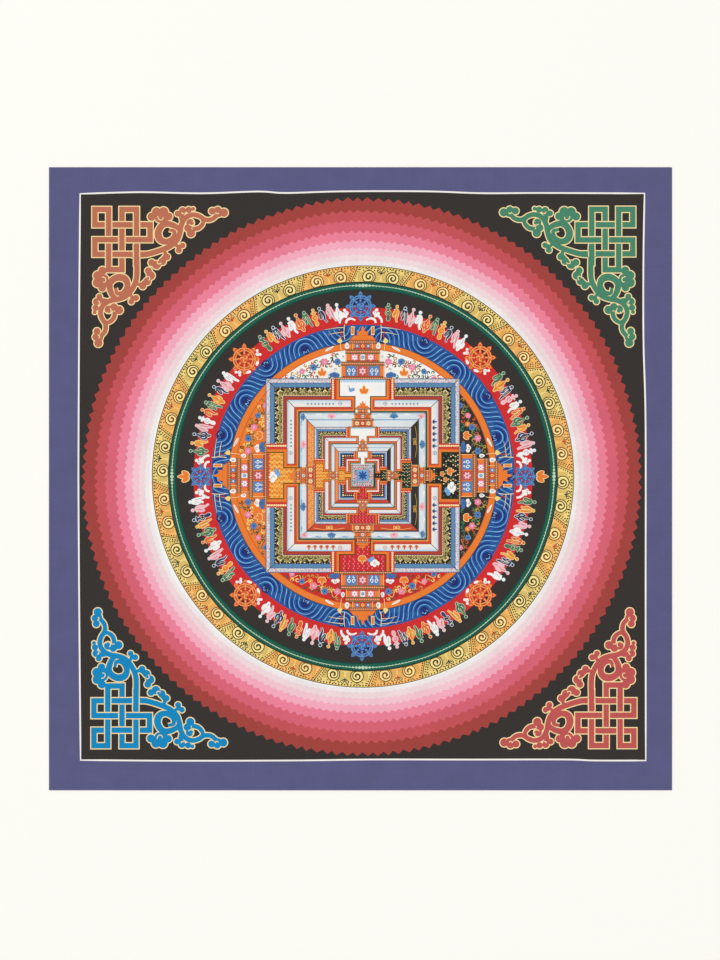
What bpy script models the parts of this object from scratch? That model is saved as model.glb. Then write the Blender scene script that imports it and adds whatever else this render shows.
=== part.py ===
"""An unmounted square thangka painting: one flat sheet of primed, painted cotton canvas.

The sheet lies flat, painted face up. X runs along the painting's lower edge, Y runs towards its upper
edge and Z points out of the painted face. The origin is at the middle of the underside.
"""

import bmesh
import bpy
from mathutils import Vector

MM = 0.001

# Driving dimensions of the cut canvas
SIDE = 760 * MM
THICKNESS = 1.2 * MM

# The knife leaves a slightly blunt corner, and the size and paint round the cut edge off a little
CORNER_RADIUS = 0.9 * MM
CORNER_STEPS = 4
EDGE_ROUNDING = 0.3 * MM
EDGE_STEPS = 2

# The violet margin that is seen at the cut edge, dry and matte
CANVAS_COLOUR = (0.115, 0.105, 0.235, 1.0)
CANVAS_ROUGHNESS = 0.85

SMOOTH_ANGLE = 0.7


def clear_scene():
    """Empties the scene, so that only the painting is left in it."""
    for thing in list(bpy.data.objects):
        bpy.data.objects.remove(thing, do_unlink=True)


def canvas_material():
    """The dry, matte finish of glue-sized and painted cotton."""
    material = bpy.data.materials.new("painted_canvas")
    material.use_nodes = True
    shader = material.node_tree.nodes["Principled BSDF"]
    shader.inputs["Base Color"].default_value = CANVAS_COLOUR
    shader.inputs["Roughness"].default_value = CANVAS_ROUGHNESS
    shader.inputs["Metallic"].default_value = 0.0
    return material


def upright(edge):
    """True for the four edges that stand at the corners of the sheet."""
    along = edge.verts[0].co - edge.verts[1].co
    return abs(along.z) > 0.5 * THICKNESS


def on_rim(edge):
    """True for an edge that runs round the upper face."""
    return all(abs(v.co.z - THICKNESS) < 1e-6 for v in edge.verts) and edge.calc_face_angle(0.0) > 1.0


def cut_sheet():
    """The flat cut: a square face given its thickness, with blunt corners and a softened upper edge."""
    bm = bmesh.new()
    bmesh.ops.create_grid(bm, x_segments=1, y_segments=1, size=SIDE / 2)
    grown = bmesh.ops.extrude_face_region(bm, geom=bm.faces[:])
    raised = [item for item in grown["geom"] if isinstance(item, bmesh.types.BMVert)]
    bmesh.ops.translate(bm, vec=Vector((0, 0, THICKNESS)), verts=raised)
    bmesh.ops.recalc_face_normals(bm, faces=bm.faces[:])
    bmesh.ops.bevel(
        bm,
        geom=[edge for edge in bm.edges if upright(edge)],
        offset=CORNER_RADIUS,
        segments=CORNER_STEPS,
        profile=0.5,
        affect="EDGES",
    )
    bmesh.ops.bevel(
        bm,
        geom=[edge for edge in bm.edges if on_rim(edge)],
        offset=EDGE_ROUNDING,
        segments=EDGE_STEPS,
        profile=0.5,
        affect="EDGES",
    )
    mesh = bpy.data.meshes.new("canvas")
    bm.to_mesh(mesh)
    bm.free()
    mesh.shade_smooth()
    mesh.set_sharp_from_angle(angle=SMOOTH_ANGLE)
    return mesh


def main():
    clear_scene()
    canvas = bpy.data.objects.new("canvas", cut_sheet())
    canvas.data.materials.append(canvas_material())
    bpy.context.scene.collection.objects.link(canvas)


main()
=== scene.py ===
# %% [markdown]
# # A mandala painting on cotton canvas
# The real object is a square of cotton, sized with glue and chalk, painted with opaque
# gouache and never mounted. This lesson lays the same coats one over the other: a margin,
# a dark ground, rings of colour, and then the small ornaments, line by line.
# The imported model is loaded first, because every size and place below hangs on it.

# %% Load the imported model
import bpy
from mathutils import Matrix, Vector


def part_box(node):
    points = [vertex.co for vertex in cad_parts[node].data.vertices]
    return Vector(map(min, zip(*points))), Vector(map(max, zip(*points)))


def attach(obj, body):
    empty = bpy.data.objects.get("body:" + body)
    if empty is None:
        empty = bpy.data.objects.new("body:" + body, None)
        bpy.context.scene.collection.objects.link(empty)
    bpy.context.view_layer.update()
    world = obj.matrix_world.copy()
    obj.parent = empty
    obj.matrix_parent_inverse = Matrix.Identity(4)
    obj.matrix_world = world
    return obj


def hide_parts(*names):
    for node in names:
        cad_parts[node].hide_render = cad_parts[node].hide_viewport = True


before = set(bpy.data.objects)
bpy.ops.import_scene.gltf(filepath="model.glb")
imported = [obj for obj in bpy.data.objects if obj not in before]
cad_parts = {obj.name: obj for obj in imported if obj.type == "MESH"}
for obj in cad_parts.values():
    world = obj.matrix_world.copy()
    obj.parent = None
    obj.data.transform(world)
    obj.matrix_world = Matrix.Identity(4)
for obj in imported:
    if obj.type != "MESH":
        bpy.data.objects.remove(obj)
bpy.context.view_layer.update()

# %% Modules, units and the middle of the sheet
import math
import random

import bmesh
import bpy
from mathutils import Matrix, Vector

MM = 0.001
MANDALA_ASIDE = (3.0, 2.7, 0)
low, high = (Vector(corner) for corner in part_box("canvas"))
WIDTH = (high.x - low.x) / MM
LENGTH = (high.y - low.y) / MM
FACE = high.z
SHEET_MIDDLE = Matrix.Translation(((low.x + high.x) / 2, (low.y + high.y) / 2, 0))
SHEET = SHEET_MIDDLE @ Matrix.Scale(MM, 4)
MANDALA = SHEET @ Matrix.Translation(MANDALA_ASIDE)
hand = random.Random(8)
print(f"canvas {WIDTH:.0f} by {LENGTH:.0f} mm, its face at {FACE / MM:.1f} mm")

# %% [markdown]
# ## Where the painting is seen from
# A flat cloth is photographed square on, so the camera hangs over its middle with a long
# lens, which keeps the edges straight. The floor is a plain pale board. A big soft lamp
# high on the left, a weaker one across from it and an even sky give the flat light of a
# copy stand, with just enough slant to show the weave and the edges of the paint.

# %% Picture measures and colours
LENS = 100.0
SENSOR = 36.0
PICTURE_TALL = 960
CANVAS_PIXELS = 623.15
PIXEL = WIDTH * MM / CANVAS_PIXELS
CANVAS_IN_PICTURE = (360.5, 478.75)
PICTURE_MIDDLE = (360.0, 480.0)


def linear(level):
    """One 0 to 255 picture level as the linear light that Blender's colours hold."""
    share = level / 255
    return share / 12.92 if share <= 0.04045 else ((share + 0.055) / 1.055) ** 2.4


def colour(rgb):
    """Three picture levels as a linear colour that is fully opaque."""
    return (*(linear(level) for level in rgb), 1.0)


print(f"one pixel of the picture is {PIXEL / MM:.2f} mm of canvas")

# %% Pale floor
FLOOR_REACH = 4.0
BOARD = (252, 251, 246)

scene = bpy.context.scene
scene.view_settings.view_transform = "Standard"
floor_mesh = bpy.data.meshes.new("floor")
bm = bmesh.new()
bmesh.ops.create_grid(bm, x_segments=2, y_segments=2, size=FLOOR_REACH)
bmesh.ops.translate(bm, verts=bm.verts, vec=(0, 0, low.z))
bm.to_mesh(floor_mesh)
bm.free()
floor = bpy.data.objects.new("floor", floor_mesh)
scene.collection.objects.link(floor)
floor_paint = bpy.data.materials.new("pale_board")
floor_paint.use_nodes = True
board = floor_paint.node_tree.nodes["Principled BSDF"]
board.inputs["Base Color"].default_value = colour(BOARD)
board.inputs["Roughness"].default_value = 0.9
board.inputs["Specular IOR Level"].default_value = 0.1
floor_mesh.materials.append(floor_paint)
print(f"floor {2 * FLOOR_REACH:.0f} m wide")

# %% Even sky and soft lamps
SKY_TINT = (1.0, 0.995, 0.98, 1.0)
SKY_LIGHT = 0.82

world = bpy.data.worlds.new("even_sky")
scene.world = world
world.use_nodes = True
sky = world.node_tree.nodes["Background"]
sky.inputs["Color"].default_value = SKY_TINT
sky.inputs["Strength"].default_value = SKY_LIGHT


def soft_lamp(name, place, size, watts):
    """A square lamp at a place, turned to the middle of the sheet."""
    light = bpy.data.lights.new(name, "AREA")
    light.size = size
    light.energy = watts
    lamp = bpy.data.objects.new(name, light)
    lamp.location = place
    lamp.rotation_euler = (-Vector(place)).to_track_quat("-Z", "Y").to_euler()
    scene.collection.objects.link(lamp)


soft_lamp("key_lamp", (-4.4, 3.2, 5.2), 3.0, 110)
soft_lamp("fill_lamp", (4.8, -3.4, 5.6), 4.0, 60)
print("lamps:", [light.name for light in bpy.data.lights])

# %% Camera
camera_data = bpy.data.cameras.new("camera")
camera_data.lens = LENS
camera_data.sensor_width = SENSOR
camera = bpy.data.objects.new("camera", camera_data)
away = PICTURE_TALL * PIXEL * LENS / SENSOR
aim_x = (PICTURE_MIDDLE[0] - CANVAS_IN_PICTURE[0]) * PIXEL
aim_y = (CANVAS_IN_PICTURE[1] - PICTURE_MIDDLE[1]) * PIXEL
camera.location = SHEET_MIDDLE.translation + Vector((aim_x, aim_y, FACE + away))
scene.collection.objects.link(camera)
scene.camera = camera
print(f"camera {away:.2f} m over the sheet")

# %% [markdown]
# ## The paint as shader nodes
# Gouache dries matt, with faint streaks from the brush and small clouds where it was
# laid thicker, and the weave of the cotton still shows in it as tiny bumps. All the
# paints share that, so it is a node group: it takes a colour and gives the same colour
# with streaks in it, a roughness and a height.


# %% Helpers for node groups
def new_group(name, inputs, outputs):
    """An empty shader group with its sockets, and its input and output nodes."""
    tree = bpy.data.node_groups.new(name, "ShaderNodeTree")
    for label, kind in inputs:
        tree.interface.new_socket(label, in_out="INPUT", socket_type=kind)
    for label, kind in outputs:
        tree.interface.new_socket(label, in_out="OUTPUT", socket_type=kind)
    return tree, tree.nodes.new("NodeGroupInput"), tree.nodes.new("NodeGroupOutput")


def math_node(tree, operation, first, second):
    """A Math node. Each of its two values is a number or a socket."""
    made = tree.nodes.new("ShaderNodeMath")
    made.operation = operation
    for slot, value in zip(made.inputs, (first, second)):
        if isinstance(value, (int, float)):
            slot.default_value = value
        else:
            tree.links.new(value, slot)
    return made.outputs[0]


def noise(tree, where, stretch, detail):
    """Smooth noise from 0 to 1, with so many patches to a metre along X, Y and Z."""
    mapping = tree.nodes.new("ShaderNodeMapping")
    mapping.inputs["Scale"].default_value = stretch
    tree.links.new(where, mapping.inputs["Vector"])
    made = tree.nodes.new("ShaderNodeTexNoise")
    made.inputs["Scale"].default_value = 1.0
    made.inputs["Detail"].default_value = detail
    tree.links.new(mapping.outputs["Vector"], made.inputs["Vector"])
    return made.outputs["Fac"]


# %% [markdown]
# The weave is two sine waves multiplied: where the warp is on top the product is high,
# where the weft is on top it is low, as in a plain cloth. A little noise pushes the
# threads out of line, because cotton is spun unevenly.

# %% Plain weave group
THREAD = 0.9 * MM
SLUBS = (90, 90, 90)
WANDER = 5.0
VECTOR, FLOAT, COLOUR = "NodeSocketVector", "NodeSocketFloat", "NodeSocketColor"

weave, weave_in, weave_out = new_group("Plain Weave", [("Where", VECTOR)], [("Height", FLOAT)])
place = weave.nodes.new("ShaderNodeSeparateXYZ")
weave.links.new(weave_in.outputs["Where"], place.inputs[0])
slub = noise(weave, weave_in.outputs["Where"], SLUBS, 3)
wander = math_node(weave, "MULTIPLY", slub, WANDER)
waves = []
for axis in "XY":
    turns = math_node(weave, "MULTIPLY", place.outputs[axis], math.pi / THREAD)
    waves.append(math_node(weave, "SINE", math_node(weave, "ADD", turns, wander), 0.0))
product = math_node(weave, "MULTIPLY", waves[0], waves[1])
weave.links.new(math_node(weave, "MULTIPLY_ADD", product, 0.5), weave_out.inputs["Height"])
print("weave:", len(weave.nodes), "nodes")

# %% [markdown]
# A brush leaves fine streaks along its way, and here and there the painter worked across
# them. So two stretched noises make the streaks both ways, and a slow one chooses between
# them. A cloudy noise stands for paint that went on thicker here and thinner there.

# %% Brushwork group
STREAKS_ACROSS = (26, 520, 26)
STREAKS_ALONG = (520, 26, 26)
PATCHES = (14, 14, 14)
CLOUDS = (34, 34, 34)
SMOOTHEST = 0.68
ROUGH_SWING = 0.22
RIDGE_SHARE = 0.6

brushwork, brush_in, brush_out = new_group(
    "Brushwork",
    [("Where", VECTOR), ("Paint", COLOUR), ("Streak", FLOAT), ("Cloud", FLOAT)],
    [("Colour", COLOUR), ("Roughness", FLOAT), ("Height", FLOAT)],
)
where = brush_in.outputs["Where"]
across = noise(brushwork, where, STREAKS_ACROSS, 4)
along = noise(brushwork, where, STREAKS_ALONG, 4)
patch = noise(brushwork, where, PATCHES, 1)
choose = brushwork.nodes.new("ShaderNodeMix")
brushwork.links.new(patch, choose.inputs["Factor"])
brushwork.links.new(across, choose.inputs["A"])
brushwork.links.new(along, choose.inputs["B"])
cloud = noise(brushwork, where, CLOUDS, 5)
streaked = math_node(brushwork, "SUBTRACT", choose.outputs["Result"], 0.5)
streaked = math_node(brushwork, "MULTIPLY", streaked, brush_in.outputs["Streak"])
clouded = math_node(brushwork, "SUBTRACT", cloud, 0.5)
clouded = math_node(brushwork, "MULTIPLY", clouded, brush_in.outputs["Cloud"])
gain = math_node(brushwork, "ADD", math_node(brushwork, "ADD", streaked, clouded), 1.0)
shaded = brushwork.nodes.new("ShaderNodeVectorMath")
shaded.operation = "SCALE"
brushwork.links.new(brush_in.outputs["Paint"], shaded.inputs[0])
brushwork.links.new(gain, shaded.inputs["Scale"])
brushwork.links.new(shaded.outputs[0], brush_out.inputs["Colour"])
matt = math_node(brushwork, "MULTIPLY", cloud, ROUGH_SWING)
matt = math_node(brushwork, "ADD", matt, SMOOTHEST)
brushwork.links.new(matt, brush_out.inputs["Roughness"])
threads = brushwork.nodes.new("ShaderNodeGroup")
threads.node_tree = weave
brushwork.links.new(where, threads.inputs["Where"])
ridges = math_node(brushwork, "MULTIPLY", choose.outputs["Result"], RIDGE_SHARE)
relief = math_node(brushwork, "ADD", threads.outputs["Height"], ridges)
brushwork.links.new(relief, brush_out.inputs["Height"])
print("groups:", [group.name for group in bpy.data.node_groups])

# %% [markdown]
# ## The colours in the pots
# These are the painter's colours, by name. The ochre-and-cream gold of the ornament ring
# is paint too, and only a little shinier than the rest.

# %% Named paints
SHADES = {
    "violet": (88, 88, 130),
    "soot": (51, 46, 43),
    "lamp_black": (38, 34, 33),
    "chalk": (244, 240, 234),
    "ivory": (247, 222, 165),
    "madder": (160, 64, 60),
    "brick": (174, 62, 46),
    "brick_rose": (193, 80, 86),
    "rose": (212, 97, 115),
    "peony": (233, 127, 151),
    "petal_pink": (242, 168, 188),
    "shell_pink": (241, 195, 207),
    "blush": (238, 213, 217),
    "pearl": (236, 231, 231),
    "dove": (214, 210, 216),
    "haze": (188, 210, 228),
    "paper": (220, 226, 228),
    "bone": (240, 231, 222),
    "milk": (243, 241, 238),
    "vermilion": (205, 42, 42),
    "brick_orange": (202, 72, 48),
    "apricot": (236, 140, 72),
    "orange": (232, 124, 48),
    "deep_orange": (203, 88, 40),
    "yellow_gold": (240, 212, 128),
    "orange_gold": (250, 190, 108),
    "pale_gold": (254, 230, 156),
    "pale_jade": (190, 212, 184),
    "ochre": (190, 150, 70),
    "umber": (98, 66, 36),
    "deep_ochre": (124, 70, 26),
    "dark_olive": (70, 62, 26),
    "lamp_green": (20, 62, 54),
    "olive": (126, 117, 70),
    "bottle_green": (24, 92, 74),
    "leaf_green": (58, 128, 84),
    "terracotta": (186, 110, 84),
    "malachite": (70, 132, 104),
    "azure": (8, 134, 190),
    "rose_red": (188, 84, 82),
    "water_blue": (40, 86, 152),
    "slate_blue": (92, 136, 174),
    "deep_water": (36, 44, 104),
    "lake_blue": (120, 166, 212),
    "navy": (20, 48, 124),
    "foam": (128, 192, 236),
    "wheel_blue": (66, 112, 172),
    "sky": (176, 208, 232),
    "mist": (222, 232, 240),
    "steel_blue": (84, 130, 184),
    "steel_dark": (52, 78, 116),
    "pink": (232, 130, 160),
    "raw_cotton": (226, 216, 196),
    "rose_milk": (238, 182, 188),
    "ink_slate": (52, 60, 92),
    "marigold": (238, 158, 62),
    "sage": (70, 116, 88),
    "fire_orange": (222, 98, 54),
}
GILDED = ("yellow_gold", "orange_gold", "pale_gold")
print(len(SHADES), "paints,", len(GILDED), "of them gilded")

# %% Mixing the paints
GLOSS = 0.2
STREAK = 0.16
CLOUD = 0.2
BUMP = 0.35
BUMP_DEEP = 0.06 * MM
GILT = 0.12


def paint_material(name):
    """Principled paint with the shared brushwork, and a bump from its height."""
    material = bpy.data.materials.new(name)
    material.use_nodes = True
    tree = material.node_tree
    shader = tree.nodes["Principled BSDF"]
    shader.inputs["Specular IOR Level"].default_value = GLOSS
    coordinates = tree.nodes.new("ShaderNodeTexCoord")
    brush = tree.nodes.new("ShaderNodeGroup")
    brush.node_tree = brushwork
    tree.links.new(coordinates.outputs["Object"], brush.inputs["Where"])
    brush.inputs["Paint"].default_value = colour(SHADES[name])
    brush.inputs["Streak"].default_value = STREAK
    brush.inputs["Cloud"].default_value = CLOUD
    tree.links.new(brush.outputs["Colour"], shader.inputs["Base Color"])
    tree.links.new(brush.outputs["Roughness"], shader.inputs["Roughness"])
    bump = tree.nodes.new("ShaderNodeBump")
    bump.inputs["Strength"].default_value = BUMP
    bump.inputs["Distance"].default_value = BUMP_DEEP
    tree.links.new(brush.outputs["Height"], bump.inputs["Height"])
    tree.links.new(bump.outputs["Normal"], shader.inputs["Normal"])
    if name in GILDED:
        shader.inputs["Metallic"].default_value = GILT
    return material


paints = {name: paint_material(name) for name in SHADES}
print(len(paints), "paints mixed")

# %% [markdown]
# ## The cloth under the paint
# A sized canvas never lies dead flat: it cockles by a fraction of a millimetre between
# its edges. One smooth function gives that height for the cloth and for every coat on
# it, so the paint follows the cloth. The sheet itself is a fine grid pulled up into a
# slab, with the corners and the cut edges a little rounded.

# %% How the cloth lies
COCKLE = 0.35 * MM


def cockle(x, y):
    """How far the cloth stands off the table at a place, in metres."""
    swell = math.sin(13.0 * x + 4.0 * y + 0.6) * math.cos(11.0 * y - 3.0 * x)
    return COCKLE * (0.5 + 0.5 * swell)


def settle(bm):
    """Lays a piece that was built flat on the cockled cloth."""
    for vert in bm.verts:
        vert.co.z += cockle(vert.co.x, vert.co.y)


print(f"the cloth stands off the table by up to {COCKLE / MM:.2f} mm")

# %% The cotton sheet
CELLS = 32
CORNER = 0.9 * MM
EDGE = 0.25 * MM


def upright(edge):
    """Whether an edge of the slab runs from its lower to its upper face."""
    return abs(edge.verts[0].co.z - edge.verts[1].co.z) > 0.5 * (high.z - low.z)


bm = bmesh.new()
bmesh.ops.create_grid(bm, x_segments=CELLS, y_segments=CELLS, size=WIDTH / 2 * MM, matrix=SHEET_MIDDLE)
slab = bmesh.ops.extrude_face_region(bm, geom=bm.faces[:])
top = [item for item in slab["geom"] if isinstance(item, bmesh.types.BMVert)]
bmesh.ops.translate(bm, verts=top, vec=(0, 0, high.z - low.z))
bmesh.ops.recalc_face_normals(bm, faces=bm.faces[:])
half = Vector((WIDTH, LENGTH)) / 2 * MM
corners = []
for edge in bm.edges:
    middle = (edge.verts[0].co + edge.verts[1].co) / 2
    if upright(edge) and abs(middle.x) > half.x - MM and abs(middle.y) > half.y - MM:
        corners.append(edge)
bevel_settings = dict(affect="EDGES", profile=0.5, material=-1)
bmesh.ops.bevel(bm, geom=corners, offset=CORNER, segments=4, **bevel_settings)
rims = []
for edge in bm.edges:
    tilts = [abs(face.normal.z) > 0.5 for face in edge.link_faces]
    if len(tilts) == 2 and tilts[0] != tilts[1]:
        rims.append(edge)
bmesh.ops.bevel(bm, geom=rims, offset=EDGE, segments=2, **bevel_settings)
for face in bm.faces:
    face.material_index = 0 if face.normal.z > 0.9 else 1
    face.smooth = abs(face.normal.z) < 0.99
settle(bm)
canvas_mesh = bpy.data.meshes.new("cotton_sheet")
bm.to_mesh(canvas_mesh)
bm.free()
canvas_mesh.materials.append(paints["violet"])
canvas_mesh.materials.append(paints["raw_cotton"])
canvas = bpy.data.objects.new("cotton_sheet", canvas_mesh)
scene.collection.objects.link(canvas)
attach(canvas, "root")
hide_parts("canvas")
print(f"sheet: {len(canvas_mesh.polygons)} faces, {len(corners)} corners, {len(rims)} rim edges")

# %% [markdown]
# ## Coats of paint
# Everything painted is a real, very thin film, so its edge catches the light as a
# brushed edge does. A coat has one paint and one height. It gathers flat shapes, made
# with bmesh operators, and brush strokes, which are curves with a bevel that Blender
# sweeps along their points. When it dries, the shapes are pulled down into closed
# films, the strokes are flattened into low ridges, both reach just into the cloth, and
# all of it settles with the cloth's own cockle.

# %% A coat of paint
LAYER = 0.05 * MM
HAIR = 0.003 * MM
HAIRS = 16


class Coat:
    """One paint at one height: flat shapes and brush strokes that become one piece."""

    def __init__(self, name, paint, level):
        self.name = name
        self.paint = paint
        self.level = level
        self.shapes = bmesh.new()
        self.strokes = {}
        self.count = 0

    def height(self):
        """The coat's height now. Raising level lets later shapes lie over earlier ones."""
        return FACE + self.level * LAYER


def lay(coat, here, verts):
    """Moves fresh flat vertices to their place, each shape a hair off the last one's plane."""
    bmesh.ops.transform(coat.shapes, matrix=here, verts=verts)
    coat.count += 1
    height = coat.height() + (coat.count % HAIRS) * HAIR
    for vert in verts:
        vert.co.z = height


print(f"coats lie {LAYER / MM:.2f} mm over each other")

# %% Films from flat shapes
CUT_EVERY = 24 * MM
SINK = 0.02 * MM


def film_from(shapes, cut):
    """Turns flat shapes into closed films: cut to follow the cloth, then pulled down."""
    if cut:
        steps = int(WIDTH * MM / 2 / CUT_EVERY)
        for normal in ((1, 0, 0), (0, 1, 0)):
            for step in range(-steps, steps + 1):
                point = SHEET_MIDDLE.translation + Vector(normal) * step * CUT_EVERY
                parts = shapes.verts[:] + shapes.edges[:] + shapes.faces[:]
                bmesh.ops.bisect_plane(shapes, geom=parts, dist=0.01 * MM, plane_co=point, plane_no=normal)
    pulled = bmesh.ops.extrude_face_region(shapes, geom=shapes.faces[:])
    under = [item for item in pulled["geom"] if isinstance(item, bmesh.types.BMVert)]
    for vert in under:
        vert.co.z = FACE - SINK
    bmesh.ops.recalc_face_normals(shapes, faces=shapes.faces[:])


print(f"films are cut every {CUT_EVERY / MM:.0f} mm where they are wide")

# %% Ridges from brush strokes
RIDGE = 0.4


def ridges_from(strokes):
    """Sweeps the strokes with Blender's curve bevel and gives their mesh."""
    curve = bpy.data.curves.new("brush", "CURVE")
    curve.dimensions = "3D"
    curve.bevel_depth = 1.0
    curve.bevel_resolution = 0
    curve.use_fill_caps = True
    curve.twist_mode = "Z_UP"
    for points, radii, closed in strokes:
        spline = curve.splines.new("POLY")
        spline.points.add(len(points) - 1)
        for knot, point, radius in zip(spline.points, points, radii):
            knot.co = (*point, 1.0)
            knot.radius = radius
        spline.use_cyclic_u = closed
    maker = bpy.data.objects.new("brush", curve)
    swept = bpy.data.meshes.new_from_object(maker)
    bpy.data.objects.remove(maker)
    bpy.data.curves.remove(curve)
    return swept


def flattened(swept, height):
    """The swept strokes as low ridges with flat sides, standing in the cloth."""
    ridge = bmesh.new()
    ridge.from_mesh(swept)
    bpy.data.meshes.remove(swept)
    for face in ridge.faces:
        face.smooth = False
    for vert in ridge.verts:
        side = (vert.co.z > 0.01 * MM) - (vert.co.z < -0.01 * MM)
        vert.co.z = (height, height + RIDGE * LAYER, FACE - SINK)[side]
    bmesh.ops.remove_doubles(ridge, verts=ridge.verts[:], dist=0.0005 * MM)
    bmesh.ops.recalc_face_normals(ridge, faces=ridge.faces[:])
    whole = bpy.data.meshes.new("ridges")
    ridge.to_mesh(whole)
    ridge.free()
    return whole


print(f"a stroke rises {RIDGE * LAYER / MM:.2f} mm in its middle")


def dry(coat, cut=False):
    """Makes the coat's object, lets it ride with the sheet and reports it."""
    if coat.shapes.faces:
        film_from(coat.shapes, cut)
    for height, strokes in coat.strokes.items():
        whole = flattened(ridges_from(strokes), height)
        coat.shapes.from_mesh(whole)
        bpy.data.meshes.remove(whole)
    settle(coat.shapes)
    mesh = bpy.data.meshes.new(coat.name)
    coat.shapes.to_mesh(mesh)
    coat.shapes.free()
    mesh.materials.append(paints[coat.paint])
    piece = bpy.data.objects.new(coat.name, mesh)
    scene.collection.objects.link(piece)
    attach(piece, "root")
    triangles = sum(len(face.vertices) - 2 for face in mesh.polygons)
    print(f"{coat.name}: {sum(len(s) for s in coat.strokes.values())} strokes, {triangles} triangles")


def dry_all(*batches):
    """Dries coats in their order. A batch is one coat, or a dict of them."""
    for batch in batches:
        for coat in batch.values() if isinstance(batch, dict) else (batch,):
            dry(coat)


def coats(part, names, level):
    """Coats at one height for one part, each called after the part and its paint."""
    return {name: Coat(f"{part}_{name}", name, level) for name in names}


# %% [markdown]
# ## Shapes and strokes
# A handful of shapes makes the whole painting. Each is a bmesh operator's own shape,
# drawn near the origin in millimetres and then moved by a matrix called here: a ring
# sector is a short edge spun round, a petal is a circle stretched and pinched, a panel
# is a face drawn between corners.


# %% Flat shapes
def polar(radius, degrees):
    """The point at a radius and an angle, in millimetres."""
    a = math.radians(degrees)
    return radius * math.cos(a), radius * math.sin(a)


def disc(coat, here, x, y, radius, sides=12):
    at = Matrix.Translation((x, y, 0))
    made = bmesh.ops.create_circle(coat.shapes, cap_ends=True, segments=sides, radius=radius, matrix=at)
    lay(coat, here, made["verts"])


def block(coat, here, x0, y0, x1, y1):
    """A rectangle in millimetres. A long one gets more faces, so that it can follow the cloth."""
    at = Matrix.Translation(((x0 + x1) / 2, (y0 + y1) / 2, 0)) @ Matrix.Diagonal((x1 - x0, y1 - y0, 1, 1))
    faces = [1 + int(side * MM / CUT_EVERY) for side in (x1 - x0, y1 - y0)]
    made = bmesh.ops.create_grid(coat.shapes, x_segments=faces[0], y_segments=faces[1], size=0.5, matrix=at)
    lay(coat, here, made["verts"])


def panel(coat, here, corners):
    verts = [coat.shapes.verts.new((x, y, 0)) for x, y in corners]
    bmesh.ops.contextual_create(coat.shapes, geom=verts)
    lay(coat, here, verts)


def sector(coat, here, inner, outer, start=0.0, sweep=360.0, steps=96, slant=0.0):
    """Part of a ring: an edge from the inner to the outer radius, spun by sweep degrees."""
    before = set(coat.shapes.verts)
    ends = [coat.shapes.verts.new((*polar(inner, start), 0)),
            coat.shapes.verts.new((*polar(outer, start + slant), 0))]
    edge = coat.shapes.edges.new(ends)
    bmesh.ops.spin(
        coat.shapes,
        geom=[*ends, edge],
        cent=(0, 0, 0),
        axis=(0, 0, 1),
        angle=math.radians(sweep),
        steps=steps,
        use_merge=sweep == 360.0,
    )
    lay(coat, here, [vert for vert in coat.shapes.verts if vert not in before])


def petal(coat, here, base, tip, width, pinch=0.75, sides=10):
    """A leaf from base to tip: a circle stretched along that line, narrow at its tip."""
    run = Vector(tip) - Vector(base)
    turn = Matrix.Rotation(math.atan2(run.y, run.x) - math.pi / 2, 4, "Z")
    at = Matrix.Translation((*base, 0)) @ turn
    made = bmesh.ops.create_circle(coat.shapes, cap_ends=True, segments=sides, radius=0.5)
    for vert in made["verts"]:
        along = vert.co.y + 0.5
        vert.co.x *= width * (1.25 - pinch * along)
        vert.co.y = along * run.length
    bmesh.ops.transform(coat.shapes, matrix=at, verts=made["verts"])
    lay(coat, here, made["verts"])


# %% [markdown]
# Strokes need a path and a width along it. Arcs, spirals and smooth bends through a few
# points are enough for every line here. A brush starts narrow, swells and lifts off, so
# the width is given at the start, the middle and the end.


# %% Paths
def arc(x, y, radius, start, end, steps=16):
    turns = [math.radians(start + (end - start) * i / steps) for i in range(steps + 1)]
    return [(x + radius * math.cos(t), y + radius * math.sin(t)) for t in turns]


def spiral(x, y, r0, r1, start, turns, steps=36):
    """A path that winds from radius r0 to r1. Negative turns wind clockwise."""
    points = []
    for i in range(steps + 1):
        share = i / steps
        t = math.radians(start + 360 * turns * share)
        r = r0 + (r1 - r0) * share
        points.append((x + r * math.cos(t), y + r * math.sin(t)))
    return points


def bend(points, steps=5):
    """A smooth path through all the points, a cubic curve from each to the next."""
    p = [Vector(point) for point in points]
    p = [2 * p[0] - p[1], *p, 2 * p[-1] - p[-2]]
    path = []
    for a, b, c, d in zip(p, p[1:], p[2:], p[3:]):
        for i in range(steps):
            t = i / steps
            path.append(0.5 * (2 * b + (c - a) * t + (2 * a - 5 * b + 4 * c - d) * t**2
                               + (3 * b - a - 3 * c + d) * t**3))
    path.append(p[-2])
    return [tuple(point) for point in path]


# %% Strokes
def stroke(coat, here, path, width, profile=(1.0, 1.0, 1.0), closed=False, edge=0.0):
    """Loads a brush stroke: its path in millimetres, its width, and how the width runs."""
    size = abs(here.determinant()) ** (1 / 3)
    points = []
    radii = []
    last = len(path) - 1
    for i, (x, y) in enumerate(path):
        spot = here @ Vector((x, y, 0))
        points.append((spot.x, spot.y, 0.0))
        share = 2 * i / last
        low_end, high_end, t = (0, 1, share) if share <= 1 else (1, 2, share - 1)
        swell = profile[low_end] * (1 - t) + profile[high_end] * t
        radii.append((width / 2 * swell + edge) * size)
    coat.strokes.setdefault(coat.height(), []).append((points, radii, closed))


def ring_line(coat, here, radius, width, steps=220):
    """A closed line round here's origin."""
    stroke(coat, here, arc(0, 0, radius, 0, 360, steps)[:-1], width, closed=True)


def kept_runs(path, keep):
    """The parts of a path whose points pass a test, so that a line stops at an edge."""
    runs = [[]]
    for point in path:
        if keep(point):
            runs[-1].append(point)
        elif runs[-1]:
            runs.append([])
    return [run for run in runs if len(run) > 1]


# %% Places
def turned(degrees):
    return Matrix.Rotation(math.radians(degrees), 4, "Z")


def moved(x, y):
    return Matrix.Translation((x, y, 0))


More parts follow.
